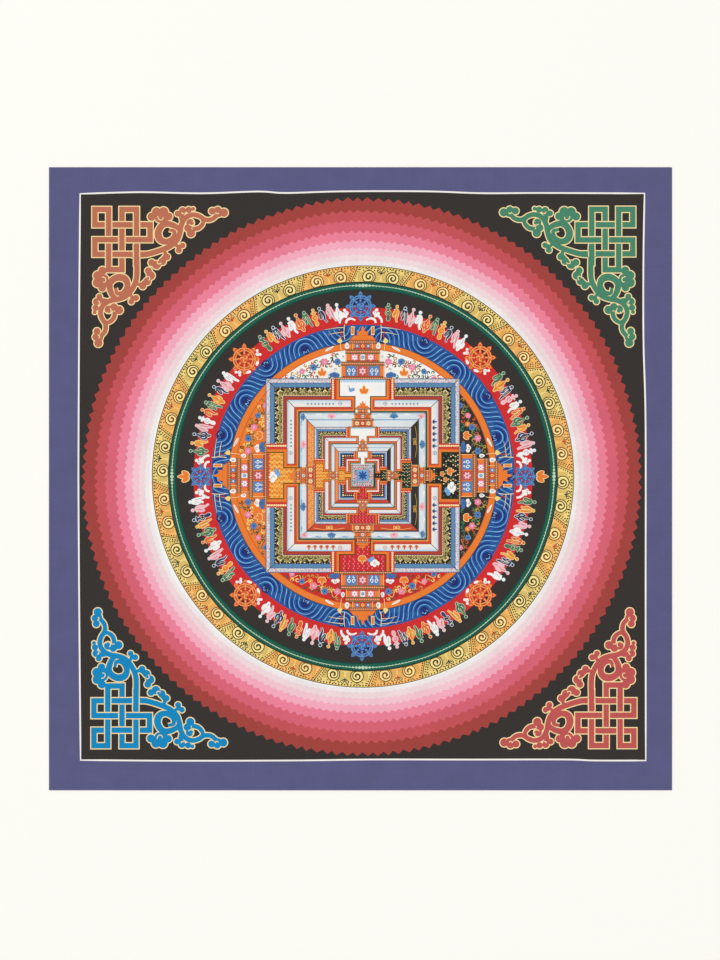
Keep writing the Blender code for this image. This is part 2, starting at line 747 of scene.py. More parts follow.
def sized(scale):
    return Matrix.Scale(scale, 4)


def stretched(x, y):
    """A place stretched along X and Y. A factor of -1 mirrors it."""
    return Matrix.Diagonal((x, y, 1, 1))


print("a place turned and moved:", (turned(90) @ moved(10, 0)).translation)

# %% [markdown]
# ## The dark ground and its ruled line
# Inside the violet margin the painter ruled a square by hand, so its sides waver by a
# millimetre or two. The ground is one face inside that outline, and a chalk white line
# two millimetres wide runs along its edge.

# %% Dark ground and white line
TOP_SIDE = [(-341.9, 347.5), (-268.9, 349.5), (-193.3, 348.1), (-125.0, 350.3), (-90.9, 348.5),
            (-22.6, 350.5), (79.9, 350.5), (148.2, 348.2), (218.9, 348.5), (346.4, 348.0)]
RIGHT_SIDE = [(346.4, 348.0), (345.1, 271.6), (345.1, 169.2), (347.7, 66.8), (347.7, -147.9),
              (347.9, -343.6)]
BOTTOM_SIDE = [(347.9, -343.6), (284.8, -343.6), (250.6, -342.4), (133.5, -342.5), (11.6, -342.4),
               (-73.8, -343.5), (-220.1, -343.9), (-341.4, -343.1)]
LEFT_SIDE = [(-341.4, -343.1), (-342.7, -196.7), (-343.9, -25.9), (-343.8, 71.6), (-343.0, 218.0),
             (-341.9, 347.5)]
LINE_WIDTH = 2.0

outline = []
for side in (TOP_SIDE, RIGHT_SIDE, BOTTOM_SIDE, LEFT_SIDE):
    outline += bend(side)[:-1]
ground = Coat("dark_ground", "soot", 1)
panel(ground, SHEET, outline)
dry(ground, cut=True)
ruled = Coat("ruled_line", "chalk", 2)
stroke(ruled, SHEET, outline, LINE_WIDTH, closed=True)
dry(ruled)

# %% [markdown]
# ## The stepped rings
# The widest part of the painting is a rainbow of nine flat tones from madder to milk.
# Every ring ends in small steps, cut by the brush one by one, so no two are alike and the
# whole circle sways a little. A ring is two bridged circles: the outer one has twice as
# many points as steps, pushed out and in by turns. Each tone lies a little over the last.

# %% Tones of the stepped rings
STEPPED = [
    (339.0, 170, 2.3, "madder"),
    (324.2, 190, 2.0, "brick_rose"),
    (312.0, 206, 1.7, "rose"),
    (299.2, 200, 1.9, "peony"),
    (288.2, 206, 1.6, "petal_pink"),
    (279.1, 208, 1.3, "shell_pink"),
    (271.0, 212, 1.0, "blush"),
    (263.6, 214, 0.8, "pearl"),
    (258.8, 216, 0.5, "milk"),
]
STEPPED_IN = 254.5
LAP = 6.0
TONE_RISE = 0.2
STEP_UNEVEN = 0.12
STEP_ASIDE = 0.16


def sway(a):
    """How far a hand-drawn circle strays from a true one at an angle, in millimetres."""
    slow = 1.4 * math.sin(a - 2.3) + 0.6 * math.sin(2 * a + 0.8) + 0.8 * math.sin(3 * a - 2.2)
    return slow + 0.4 * math.sin(7 * a + 2.1) + 0.25 * math.sin(16 * a)


print(len(STEPPED), "tones, the widest circle strays", round(sway(math.pi), 1), "mm at the left")

# %% Nine stepped rings
bm = bmesh.new()
for number, (radius, steps_round, rise, _) in enumerate(STEPPED):
    inner = STEPPED[number + 1][0] - LAP if number + 1 < len(STEPPED) else STEPPED_IN
    loops = []
    for at, push in ((radius, rise), (inner, 0.0)):
        made = bmesh.ops.create_circle(bm, cap_ends=False, segments=2 * steps_round, radius=at)
        for i, vert in enumerate(made["verts"]):
            a = math.atan2(vert.co.y, vert.co.x)
            uneven = STEP_UNEVEN * push * hand.uniform(-1, 1)
            reach = at + sway(a) * (push > 0) + (push if i % 2 else -push) + uneven
            a += STEP_ASIDE * hand.uniform(-1, 1) * math.pi / steps_round * (push > 0)
            height = FACE + (2 + TONE_RISE * number) * LAYER / MM
            vert.co = (reach * math.cos(a), reach * math.sin(a), height)
        loops += list({edge for vert in made["verts"] for edge in vert.link_edges})
    bridged = bmesh.ops.bridge_loops(bm, edges=loops)
    for face in bridged["faces"]:
        face.material_index = number
for vert in bm.verts:
    height = (vert.co.z - FACE) * MM
    vert.co = MANDALA @ Vector((vert.co.x, vert.co.y, 0))
    vert.co.z = FACE + height
film_from(bm, cut=True)
settle(bm)
rings_mesh = bpy.data.meshes.new("stepped_rings")
bm.to_mesh(rings_mesh)
bm.free()
for *_, tone in STEPPED:
    rings_mesh.materials.append(paints[tone])
rings = bpy.data.objects.new("stepped_rings", rings_mesh)
scene.collection.objects.link(rings)
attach(rings, "root")
print(f"stepped rings: {len(rings_mesh.polygons)} faces")

# %% [markdown]
# ## Four corner ornaments
# An endless knot fills each corner, the old sign of a thread without an end, and from
# its two open strands grow tendrils with cloud curls. It is one strand, so the knot is a
# walk over a small lattice. The ivory edge is the same shape, a little wider, painted
# first. Where the strand goes over itself, a short piece is painted once more on top.

# %% Knot lattice and strand
PITCH_X = 16.8
PITCH_Y = 18.3
STRAND = 6.6
EDGING = 1.25
CROSSING_RISE = 4
UNRULED = 0.8
KNOT_WALK = [(3.6, 3), (0, 3), (0, 2), (4, 2), (4, 1), (0, 1), (0, 0), (1, 0), (1, 4), (2, 4), (2, 0),
             (3, 0), (3, 3.6)]


def bar(coat, here, lattice, start, end, width, beyond):
    """A straight piece of strand between two lattice points, a little longer at both ends."""
    columns, rows = lattice
    x0, x1 = sorted(columns[int(i)] + (i % 1) * PITCH_X for i in (start[0], end[0]))
    y0, y1 = sorted(rows[int(j)] + (j % 1) * PITCH_Y for j in (start[1], end[1]))
    if y1 - y0 < 1.0:
        block(coat, here, x0 - beyond, y0 - width / 2, x1 + beyond, y1 + width / 2)
    else:
        block(coat, here, x0 - width / 2, y0 - beyond, x1 + width / 2, y1 + beyond)


def crossing(coat, here, x, y, along, aside):
    """A short piece of strand over another one, so far each way along X and Y."""
    block(coat, here, x - along, y - aside, x + along, y + aside)


def knot(line, body, here):
    """The knot from its walk, then its nine crossings with the strands over and under in turn."""
    wide = STRAND + 2 * EDGING
    lattice = ([PITCH_X * i + hand.uniform(-UNRULED, UNRULED) for i in range(5)],
               [PITCH_Y * j + hand.uniform(-UNRULED, UNRULED) for j in range(5)])
    for start, end in zip(KNOT_WALK, KNOT_WALK[1:]):
        bar(line, here, lattice, start, end, wide, wide / 2)
        bar(body, here, lattice, start, end, STRAND, STRAND / 2)
    line.level += CROSSING_RISE
    body.level += CROSSING_RISE
    for i in (1, 2, 3):
        for j in (1, 2, 3):
            x, y = lattice[0][i], lattice[1][j]
            long, short = wide / 2 + 0.1, STRAND / 2
            if (i + j) % 2:
                crossing(line, here, x, y, short, wide / 2)
                crossing(body, here, x, y, long, short)
            else:
                crossing(line, here, x, y, wide / 2, short)
                crossing(body, here, x, y, short, long)
    line.level -= CROSSING_RISE
    body.level -= CROSSING_RISE


print(f"knot {4 * PITCH_X:.0f} by {4 * PITCH_Y:.0f} mm")

# %% [markdown]
# A tendril is a few smooth strokes that swell and thin. Each ends in a cloud head, which
# is a bunch of round lobes that run into each other, with a hooked line inside the big
# ones. The stem leaves the knot where its strand does, once to the side and once down.

# %% Lines of the tendrils and lobes of the cloud heads
STEM = [(79, 50), (92, 44.5), (100.5, 37), (104, 28), (106, 18), (111, 9.8), (119, 6.2), (127, 7.6),
        (135, 12.2), (143, 11.6), (150, 6)]
STEM_STARTS = ([(44, 54.9), (62, 54.6)], [(38, 49.6), (58, 50.4)])
TENDRILS = [
    ([(104.6, 26), (99, 20.5), (90, 17.2), (82, 19.5), (77.5, 28), (80, 36.5), (88, 39), (96, 34),
      (97, 26.5), (90.5, 24.5)], 7.0, (0.8, 1.25, 0.5)),
    ([(97, 19.5), (89, 17), (82, 12)], 7.0, (0.8, 1.0, 1.2)),
    ([(107, 16), (105.5, 9), (108, 3)], 5.4, (0.8, 0.95, 1.0)),
    ([(130, 9.5), (132.5, 15.5), (127.5, 22), (119.5, 24)], 5.2, (0.7, 1.0, 1.1)),
    ([(97, 41), (101, 44.5), (104, 46)], 4.4, (0.8, 0.9, 1.0)),
    ([(84, 48.5), (86.5, 55), (83, 61)], 5.4, (0.6, 0.9, 1.1)),
]
CLOUD_HEADS = [
    [(69.5, 8.6, 5.0), (75.5, 2.8, 5.6), (84.0, 2.6, 5.8), (90.4, 8.2, 4.6), (80.0, 9.5, 6.6)],
    [(143.4, 1.8, 4.2), (150.2, 0.6, 4.4), (157.6, 3.6, 5.0), (151.5, 5.2, 3.8)],
    [(101.2, 4.8, 3.6), (107.2, 1.2, 4.2), (114.6, 0.2, 3.8), (120.0, -1.0, 2.4)],
    [(116.6, 16.0, 4.8), (113.8, 22.4, 4.6), (117.4, 28.8, 5.0)],
    [(107.2, 43.6, 3.4), (102.6, 49.4, 3.6), (103.6, 45.6, 3.2)],
    [(88.0, 57.6, 4.2), (82.6, 63.0, 4.6), (75.4, 67.4, 5.2), (69.6, 64.6, 4.2)],
]
HOOKS = [(81.5, 9.5, 4.6, 200, -0.6), (119.0, 15.5, 4.4, 150, -0.62), (78.0, 63.5, 3.4, 20, 0.55),
         (150.5, 3.4, 2.6, 190, -0.5), (108.5, 3.6, 2.2, 200, -0.5)]
HEAD_SIDES = 18
HOOK_RISE = 6
print(len(TENDRILS), "tendrils and", len(CLOUD_HEADS), "cloud heads on each arm")


# %% Tendrils and cloud heads
def cloud_head(line, body, here, lobes):
    """One cloud head: every lobe twice, first a little wider for the edge."""
    for x, y, radius in lobes:
        disc(line, here, x, y, radius + EDGING, HEAD_SIDES)
        disc(body, here, x, y, radius, HEAD_SIDES)


def tendril(line, body, here, points, width, profile):
    path = bend(points)
    stroke(line, here, path, width, profile, edge=EDGING)
    stroke(body, here, path, width, profile)


def corner_ornament(number, paint, corner_x, corner_y, face_x, face_y):
    """One corner: the knot, and its tendrils twice, along the side and, mirrored, down it."""
    here = SHEET @ moved(corner_x, corner_y) @ stretched(face_x, face_y)
    line = Coat(f"corner_{number}_edging", "ivory", 2)
    body = Coat(f"corner_{number}_ornament", paint, 4)
    flip = Matrix(((0, 1, 0, 0), (1, 0, 0, 0), (0, 0, 1, 0), (0, 0, 0, 1)))
    for side, begin in zip((here, here @ flip @ moved(5.0, 1.0)), STEM_STARTS):
        tendril(line, body, side, [*begin, *STEM], 6.6, (1.0, 0.95, 0.8))
        for points, width, profile in TENDRILS:
            tendril(line, body, side, points, width, profile)
        for lobes in CLOUD_HEADS:
            cloud_head(line, body, side, lobes)
        line.level += HOOK_RISE
        for x, y, reach, begin_at, turns in HOOKS:
            wind = spiral(x, y, reach, reach * 0.35, begin_at, turns, 12)
            stroke(line, side, wind, 1.1, (1.0, 1.0, 0.7))
        line.level -= HOOK_RISE
    line.level += 1
    body.level += 1
    knot(line, body, here)
    dry(line)
    dry(body)


# %% The four corners
corner_ornament(1, "terracotta", -324.2, 328.1, 1, -1)
corner_ornament(2, "malachite", 332.3, 328.4, -1, -1)
corner_ornament(3, "azure", -325.0, -325.3, 1, 1)
corner_ornament(4, "rose_red", 333.0, -325.3, -1, 1)

# %% [markdown]
# ## The ring of gold scrolls
# Twenty-four slanted fields go round in two golds. Each carries two pale round scrolls,
# drawn with one long spiral line, and the ground between them is filled with arcs and
# rows of dots, as thangka painters do to keep a wide band alive.

# %% Gold fields
GOLD_IN = 237.2
GOLD_OUT = 256.8
FIELDS = 24
FIELD_TURN = 360 / FIELDS
FIELD_START = 3.5
SLANT = -2.2

fields = [Coat("gold_fields_warm", "orange_gold", 4), Coat("gold_fields_light", "yellow_gold", 4)]
for number in range(FIELDS):
    start = FIELD_START + number * FIELD_TURN
    sector(fields[number % 2], MANDALA, GOLD_IN, GOLD_OUT, start, FIELD_TURN, 8, SLANT)
for coat in fields:
    dry(coat, cut=True)

# %% Where a scroll may be drawn
SCROLL_AT = 243.7
SCROLL_RADIUS = 7.7
SCROLL_SPREAD = 3.4
RIPPLES = (9.5, 11.1, 12.7)
STOPS_BELOW = GOLD_OUT - 6.5


def within_field(point):
    """Whether a point, seen from a scroll's middle, is on the gold and on the scroll's own side."""
    out = math.hypot(point[0], point[1] + SCROLL_AT)
    beside = SCROLL_AT * math.radians(SCROLL_SPREAD + 0.2)
    return GOLD_IN + 0.6 < out < STOPS_BELOW and abs(point[0]) < beside


def on_gold(point):
    """The point itself, or pushed out to the ring's inner edge."""
    out = math.hypot(point[0], point[1] + SCROLL_AT)
    push = max((GOLD_IN + 0.5) / out, 1.0)
    return point[0] * push, (point[1] + SCROLL_AT) * push - SCROLL_AT


print("a scroll's lowest point moves to", on_gold((0, -SCROLL_RADIUS)))

# %% What a gold field carries
scrolls = Coat("gold_scrolls", "pale_gold", 6)
ripples = Coat("gold_ripples", "ochre", 6)
scroll_lines = [Coat("scroll_lines_brown", "deep_ochre", 8), Coat("scroll_lines_olive", "dark_olive", 8)]
dots = [Coat("gold_ring_dots_brown", "umber", 8), Coat("gold_ring_dots_olive", "lamp_black", 8)]
stars = [Coat("gold_stars_red", "brick", 8), Coat("gold_stars_green", "lamp_green", 8)]


def round_scroll(ink, speck, middle, side):
    """One of a field's two scrolls, with ripples beside it and four dots round it."""
    here = MANDALA @ turned(middle + side * SCROLL_SPREAD - 90) @ moved(0, SCROLL_AT)
    rim = [on_gold(point) for point in arc(0, 0, SCROLL_RADIUS, 0, 360, 28)[:-1]]
    panel(scrolls, here, rim)
    stroke(ink, here, rim, 1.2, closed=True)
    wind = spiral(0, 0, SCROLL_RADIUS * 0.82, 0.9, -100, side * 1.45, 32)
    stroke(ink, here, [on_gold(point) for point in wind], 2.0, (0.5, 0.9, 1.2))
    for reach in RIPPLES:
        for run in kept_runs(arc(0, 0, reach, -60, 240, 40), within_field):
            stroke(ripples, here, run[::2] + run[-1:], 0.6)
    for step in range(4):
        disc(speck, here, *polar(10.2, 50 + 27 * step), 0.8, 6)


def field_head(ink, star, middle):
    """Two small curls and a star of four leaves, at the outer edge between the scrolls."""
    here = MANDALA @ turned(middle - 90) @ moved(0, GOLD_OUT - 6.0)
    for side in (-1, 1):
        disc(scrolls, here, side * 3.6, 0.6, 2.5, 12)
        stroke(ink, here, spiral(side * 3.6, 0.6, 2.5, 0.6, 90, side * 1.2, 14), 1.1, (0.8, 1, 0.8))
    for quarter in range(4):
        petal(star, here @ moved(0, -2.0) @ turned(90 * quarter), (0, 0), (0, 3.0), 1.8, 0.9, 6)


def field_seam(ink, speck, seam):
    """The slanted line between two fields, with three rows of dots along it."""
    for aside, size, shift in ((-0.6, 0.85, 0), (0.6, 0.85, 0), (1.2, 0.75, 1.3)):
        for step in range(6):
            r = GOLD_IN + 1.8 + step * 2.7 + shift
            a = seam + SLANT * (r - GOLD_IN) / (GOLD_OUT - GOLD_IN) + aside
            disc(speck, MANDALA @ turned(a), r, 0, size, 6)
    stroke(ink, MANDALA, [polar(GOLD_IN, seam), polar(GOLD_OUT, seam + SLANT)], 0.9)


# %% Scrolls, ripples and seams
for number in range(FIELDS):
    ink, speck, star = (pair[number % 2] for pair in (scroll_lines, dots, stars))
    middle = FIELD_START + (number + 0.5) * FIELD_TURN + SLANT / 2
    for side in (-1, 1):
        round_scroll(ink, speck, middle, side)
    field_head(ink, star, middle)
    field_seam(ink, speck, FIELD_START + number * FIELD_TURN)

# %% Dots along the outer edge
EDGE_DOTS = 432
for step in range(EDGE_DOTS):
    a = step * 360 / EDGE_DOTS
    speck = dots[int((a - SLANT - FIELD_START) // FIELD_TURN) % 2]
    disc(speck, MANDALA @ turned(a), GOLD_OUT - 1.9, 0, 0.95, 6)
    if step % 3 == 1:
        disc(speck, MANDALA @ turned(a), GOLD_OUT - 4.3, 0, 0.8, 6)
dry(scrolls)
dry_all(ripples, *scroll_lines, *dots, *stars)

# %% [markdown]
# ## Plain rings inside the gold
# Green, black and red follow, then the blue of water and the orange inner ring. Each is
# one edge spun all the way round. Neighbours lie at different heights and overlap by a
# millimetre, as one colour is always painted up to and a little over the last.

# %% Plain rings
GREEN_IN, GREEN_OUT = 226.8, 237.8
BLACK_IN, BLACK_OUT = 206.8, 227.8
RED_IN, RED_OUT = 184.4, 207.4
WATER_IN, WATER_OUT = 163.2, 185.3
INNER_IN, INNER_OUT = 155.6, 163.9
PLAIN_RINGS = [
    ("green_ring", "bottle_green", 2, GREEN_IN, GREEN_OUT),
    ("black_ring", "soot", 3, BLACK_IN, BLACK_OUT),
    ("red_ring", "vermilion", 2, RED_IN, RED_OUT),
    ("water_ring", "water_blue", 3, WATER_IN, WATER_OUT),
    ("inner_ring", "orange", 4, INNER_IN, INNER_OUT),
]
for name, paint, level, inner, outer in PLAIN_RINGS:
    coat = Coat(name, paint, level)
    sector(coat, MANDALA, inner, outer, steps=144)
    dry(coat, cut=True)

# %% Fine lines between the rings
circles = Coat("ring_outlines", "dark_olive", 6)
for radius, width in ((GOLD_OUT + 0.1, 0.9), (GOLD_IN + 0.2, 0.7), (INNER_OUT - 0.2, 0.5)):
    ring_line(circles, MANDALA, radius, width)
inner_line = Coat("inner_ring_line", "deep_orange", 6)
ring_line(inner_line, MANDALA, INNER_IN + 0.3, 0.8)
dry_all(circles, inner_line)

# %% Shade and beads on the green ring
BEAD_AT = 233.0
green_shade = Coat("green_ring_shade", "lamp_green", 4)
ring_line(green_shade, MANDALA, GREEN_IN + 1.2, 1.4, 240)
ring_line(green_shade, MANDALA, GREEN_OUT - 1.2, 1.2, 240)
dry(green_shade)
beads = Coat("green_ring_beads", "pale_jade", 5)
ring_line(beads, MANDALA, BEAD_AT, 0.8, 240)
for step in range(360):
    near_axis = min(step % 90, 90 - step % 90)
    wave = 0.5 * math.sin(math.radians(step * 24))
    if near_axis < 4:
        disc(beads, MANDALA @ turned(step), BEAD_AT, 0, 2.2 - 0.35 * near_axis, 8)
    else:
        disc(beads, MANDALA @ turned(step), BEAD_AT + wave, 0, 0.75, 6)
dry(beads)

# %% [markdown]
# ## The ring of water
# Water is drawn as rings round still eyes. The eyes sit by turns at the outer and the
# inner edge. Circles round one eye touch the circles round the next exactly on the line
# between the two eyes when their radii add up to that distance, so each line swings
# round one eye and then, the other way, round its neighbour, in one smooth S.

# %% The eyes of the water
EYES = 22
EYE_OUTER = 181.0
EYE_INNER = 169.0
LINES = 9


def on_water(point):
    return WATER_IN + 0.9 < math.hypot(*point) < WATER_OUT - 0.8


def eye_at(number):
    """The middle of an eye. They sit at the inner and the outer edge by turns."""
    radius = EYE_INNER if number % 2 else EYE_OUTER
    return Vector(polar(radius, 90 + (number + 0.5) * 360 / EYES))


print(f"{EYES} eyes, {(eye_at(1) - eye_at(0)).length:.0f} mm apart")

# %% Water lines
foam = Coat("water_lines", "foam", 7)
depth = Coat("water_shadows", "navy", 5)
pools = Coat("water_eyes", "deep_water", 6)
for number in range(EYES):
    eye = eye_at(number)
    before = eye_at(number - 1) - eye
    after = eye_at(number + 1) - eye
    facing = eye if number % 2 else -eye
    start = math.degrees(math.atan2(before.y, before.x))
    middle = math.degrees(math.atan2(facing.y, facing.x))
    to_middle = (middle - start + 180) % 360 - 180
    end = start + 2 * to_middle
    gap = after.length / LINES
    for line in range(LINES):
        reach = (line + 0.5) * gap
        steps = 14 + 5 * line
        width = 0.75 + 0.35 * ((line * 7 + number) % 3 == 0)
        if line:
            for run in kept_runs(arc(*eye, reach, start, end, steps), on_water):
                stroke(foam, MANDALA, run, width, (0.7, 1, 0.7))
        if line < 5:
            for run in kept_runs(arc(*eye, reach + gap * 0.42, start, end, steps), on_water):
                stroke(depth, MANDALA, run, 2.6 - 0.35 * line, (0.5, 1, 0.5))
    inward = Vector(facing).normalized()
    petal(pools, MANDALA, tuple(eye - inward * 5.2), tuple(eye + inward * 4.4), 9.5, 0.35, 16)
    stroke(foam, MANDALA, spiral(*(eye - inward * 1.4), 2.1, 0.6, middle + 60, 0.7, 8), 0.7)
dry_all(foam, depth, pools)

# %% [markdown]
# ## Eight wheels
# On the black and red rings stand eight wheels, blue on the axes and orange between
# them. A wheel is a spun rim, a hub, eight spokes and eight pointed knobs. The dark and
# the light drawing on it are two more coats.

# %% Where the wheels stand
AXIS_WHEEL_AT = {"top": 207.6, "left": 198.0, "bottom": 206.6, "right": 198.0}
DIAGONAL_WHEEL_AT = 203.6
AXIS_WHEEL = {"top": 18.6, "left": 15.6, "bottom": 18.6, "right": 15.6}
DIAGONAL_WHEEL = 19.2
SIDES = ["top", "left", "bottom", "right"]
WHEEL_TURN = (0.8, 0.3, 0.0, 0.2, -0.3, -0.3, 0.0, 0.4)
print("blue wheels on the axes:", AXIS_WHEEL_AT)


# %% A wheel and a jewel
def wheel(body, line, light, here, radius):
    """A wheel of the given radius about here's origin, with its first knob pointing up."""
    at = here @ sized(radius)
    sector(body, at, 0.48, 0.73, steps=40)
    disc(body, at, 0, 0, 0.3, 20)
    for number in range(8):
        spoke = at @ turned(45 * number)
        petal(body, spoke, (0, 0.16), (0, 0.56), 0.15, 0.1, 8)
        petal(body, spoke, (0, 0.66), (0, 1.02), 0.36, 1.0, 12)
        disc(body, spoke @ turned(22.5), 0, 0.7, 0.07, 8)
        disc(light, spoke, 0, 0.62, 0.045, 6)
        stroke(light, spoke, [(0, 0.3), (0, 0.5)], 0.04)
        disc(line, spoke @ turned(22.5), 0, 0.62, 0.04, 6)
        stroke(light, spoke, arc(0, 0.84, 0.08, 200, -20, 5), 0.03)
    for coat, reach, width in [(line, 0.5, 0.045), (light, 0.54, 0.03), (light, 0.7, 0.035),
                               (line, 0.29, 0.04)]:
        ring_line(coat, at, reach, width, 40)
    swirl = bend([(0.02, 0.0), (0.13, 0.02), (0.18, 0.13), (0.11, 0.21)], 3)
    for number in range(3):
        stroke(light, at @ turned(120 * number), swirl, 0.05)
    disc(line, at, 0, 0, 0.05, 8)


def flame_jewel(body, rim, here, size):
    """Three rounded flames on a small base."""
    at = here @ sized(size)
    for coat, extra in ((rim, 0.1), (body, 0.0)):
        petal(coat, at, (0, -0.5 - extra), (0, 1.0 + extra), 0.62 + 2 * extra, 0.6)
        for side in (-1, 1):
            petal(coat, at, (side * 0.1, -0.6 - extra), (side * 0.75, 0.35 + extra), 0.55 + 2 * extra, 0.3)


def puffs(coat, here, spots):
    """Round puffs of cloud that run into each other."""
    for x, y, radius in spots:
        disc(coat, here, x, y, radius, 12)


# %% Coats of the wheels
wheel_blue = Coat("axis_wheels", "wheel_blue", 7)
wheel_orange = Coat("diagonal_wheels", "fire_orange", 7)
wheel_lines = [Coat("axis_wheel_lines", "navy", 9), Coat("diagonal_wheel_lines", "brick", 9)]
wheel_lights = [Coat("axis_wheel_lights", "lake_blue", 10),
                Coat("diagonal_wheel_lights", "orange_gold", 10)]
clouds_white = Coat("wheel_clouds", "chalk", 6)
cloud_lines = Coat("wheel_cloud_lines", "steel_blue", 7)
jewel_coats = [Coat("jewels", "orange", 20), Coat("jewel_rims", "ivory", 19)]


def clouds_by_orange_wheel(foot):
    """A slim cloud and three puffs on one side of an orange wheel."""
    petal(clouds_white, foot, (4.5, 187.2), (11.5, 190.8), 3.4, 0.4, 10)
    puffs(clouds_white, foot, ((15.6, 196.4, 2.4), (18.4, 199.6, 1.8), (17.6, 193.8, 1.7)))
    stroke(cloud_lines, foot, spiral(15.8, 196.4, 1.5, 0.5, 200, -0.8, 8), 0.4)


def clouds_by_blue_wheel(foot):
    """Two bowed clouds and three puffs on one side of a blue wheel."""
    outer_bow = [(25.6, 187.2), (24.8, 191.5), (21.0, 195.8), (16.5, 195.4)]
    inner_bow = [(18.2, 187.0), (17.0, 190.8), (12.4, 192.8), (6.5, 190.8)]
    stroke(clouds_white, foot, bend(outer_bow), 3.6, (0.7, 1.0, 1.0))
    stroke(clouds_white, foot, bend(inner_bow), 3.0, (0.8, 1.0, 0.6))
    puffs(clouds_white, foot, ((19.6, 203.0, 2.0), (17.4, 199.4, 2.8), (21.4, 198.6, 2.0)))
    stroke(cloud_lines, foot, spiral(18.4, 199.6, 2.0, 0.6, 200, -0.8, 10), 0.5)
    stroke(cloud_lines, foot, bend([(24.2, 188.0), (23.4, 191.6), (20.2, 194.6)]), 0.45)


print(f"a jewel lies {jewel_coats[0].level * LAYER / MM:.1f} mm over the cloth")

# %% Wheels
for number in range(8):
    out = MANDALA @ turned(45 * number + WHEEL_TURN[number])
    upright_again = turned(-45 * number)
    if number % 2:
        here = out @ moved(0, DIAGONAL_WHEEL_AT) @ upright_again
        wheel(wheel_orange, wheel_lines[1], wheel_lights[1], here, DIAGONAL_WHEEL)
    else:
        side = SIDES[number // 2]
        here = out @ moved(0, AXIS_WHEEL_AT[side]) @ upright_again
        wheel(wheel_blue, wheel_lines[0], wheel_lights[0], here, AXIS_WHEEL[side])
        if side in ("left", "right"):
            flame_jewel(*jewel_coats, out @ moved(0, 217.4), 8.6)
    clouds_by_wheel = clouds_by_orange_wheel if number % 2 else clouds_by_blue_wheel
    for way in (-1, 1):
        clouds_by_wheel(out @ stretched(way, 1))
dry_all(wheel_blue, wheel_orange, *wheel_lines, *wheel_lights, clouds_white, cloud_lines)

# %% [markdown]
# ## The ring of offerings
# Between the wheels stands a close row of small offerings in six colours: a jewel bud
# between two leaves, a slim vase, a pennant and a bent leaf, each under a pearl. A paler
# rim is painted first, a little wider, so that every colour reads on both the black and
# the red.

# %% Row and colours of the offerings
OFFERINGS_BETWEEN = 11
OFFERING_AT = 203.2
OFFERING_STEP = 2.78
OFFERING_SIZE = 0.95
OFFERING_COLOURS = ["chalk", "rose_milk", "ink_slate", "marigold", "sage", "fire_orange"]
OFFERING_RIMS = {"chalk": "mist", "rose_milk": "blush", "ink_slate": "mist", "marigold": "ivory",
                 "sage": "pale_jade", "fire_orange": "ivory"}
VEIN_ON = {"chalk": "steel_blue", "rose_milk": "madder", "marigold": "madder"}
RIM = 0.7
print(8 * OFFERINGS_BETWEEN, "offerings in", len(OFFERING_COLOURS), "colours")


# %% Buds, vases, pennants and leaves
def bud(coat, here, extra):
    petal(coat, here, (1.4, -13.0 - extra), (0, -3.0 + extra), 3.4 + 2 * extra, 0.2)
    for side in (-1, 1):
        leaf = [(side * 0.5, -7.5), (side * 3.6, -6.2), (side * 4.3, -2.2), (side * 2.6, 0.6)]
        stroke(coat, here, bend(leaf, 3), 2.3, (1.2, 1.0, 0.6), edge=extra)
    petal(coat, here, (0, -5.6 - extra), (0, 7.2 + extra), 5.4 + 2 * extra, 0.8)


def vase(coat, here, extra):
    disc(coat, here, 0, -1.6, 3.7 + extra, 14)
    petal(coat, here, (1.0, -12.8 - extra), (0, -2.0), 5.4 + 2 * extra, 0.9, 10)
    block(coat, here, -1.3 - extra, 0, 1.3 + extra, 5.2)
    petal(coat, here, (-3.8 - extra, 5.4), (3.8 + extra, 5.4), 2.4 + 2 * extra, 0.5, 8)


def pennant(coat, here, extra):
    stroke(coat, here, [(-3.2, 6.0), (3.4, 5.4)], 2.2, edge=extra)
    long_tail = bend([(1.6, 5.4), (2.6, -1.0), (3.2, -7.0), (4.6, -12.2)], 3)
    short_tail = bend([(-1.6, 5.6), (-2.6, 1.0), (-1.0, -3.0), (-2.4, -7.2)], 3)
    stroke(coat, here, long_tail, 3.0, (1.0, 1.0, 0.4), edge=extra)
    stroke(coat, here, short_tail, 2.8, (0.8, 1.2, 0.4), edge=extra)


def bent_leaf(coat, here, extra):
    petal(coat, here, (-2.6, -5.4 - extra), (0.4, 6.6 + extra), 4.4 + 2 * extra, 0.5, 10)
    stem = bend([(-3.2, 3.6), (1.6, 4.8), (2.8, -1.0), (2.0, -7.0), (4.0, -12.0)], 3)
    stroke(coat, here, stem, 2.7, (0.7, 1.1, 0.4), edge=extra)


def offering(shape, body, rim, here):
    for coat, extra in ((rim, RIM), (body, 0.0)):
        shape(coat, here, extra)
        disc(coat, here, 0, 9.4, 1.7 + extra, 10)


def vein_lines(shape, vein, here):
    """The thin inner lines of an offering, which follow its shape."""
    if shape is bud:
        stroke(vein, here, bend([(0, -4), (1.0, 0.0), (-0.4, 4.5)], 3), 0.6, (0.6, 1, 0.4))
        stroke(vein, here, [(0.8, -11), (0.2, -7)], 0.5)
    elif shape is vase:
        stroke(vein, here, arc(0, -1.6, 2.1, 20, 300, 10), 0.55)
    elif shape is pennant:
        stroke(vein, here, [(1.8, 3.6), (3.2, -6.0)], 0.45)
        stroke(vein, here, [(-2.4, 3.6), (-1.6, -2.0)], 0.45)
    else:
        stroke(vein, here, bend([(-2.2, -4.0), (-0.8, 0.0), (0.0, 4.2)], 3), 0.55, (0.4, 1, 0.4))


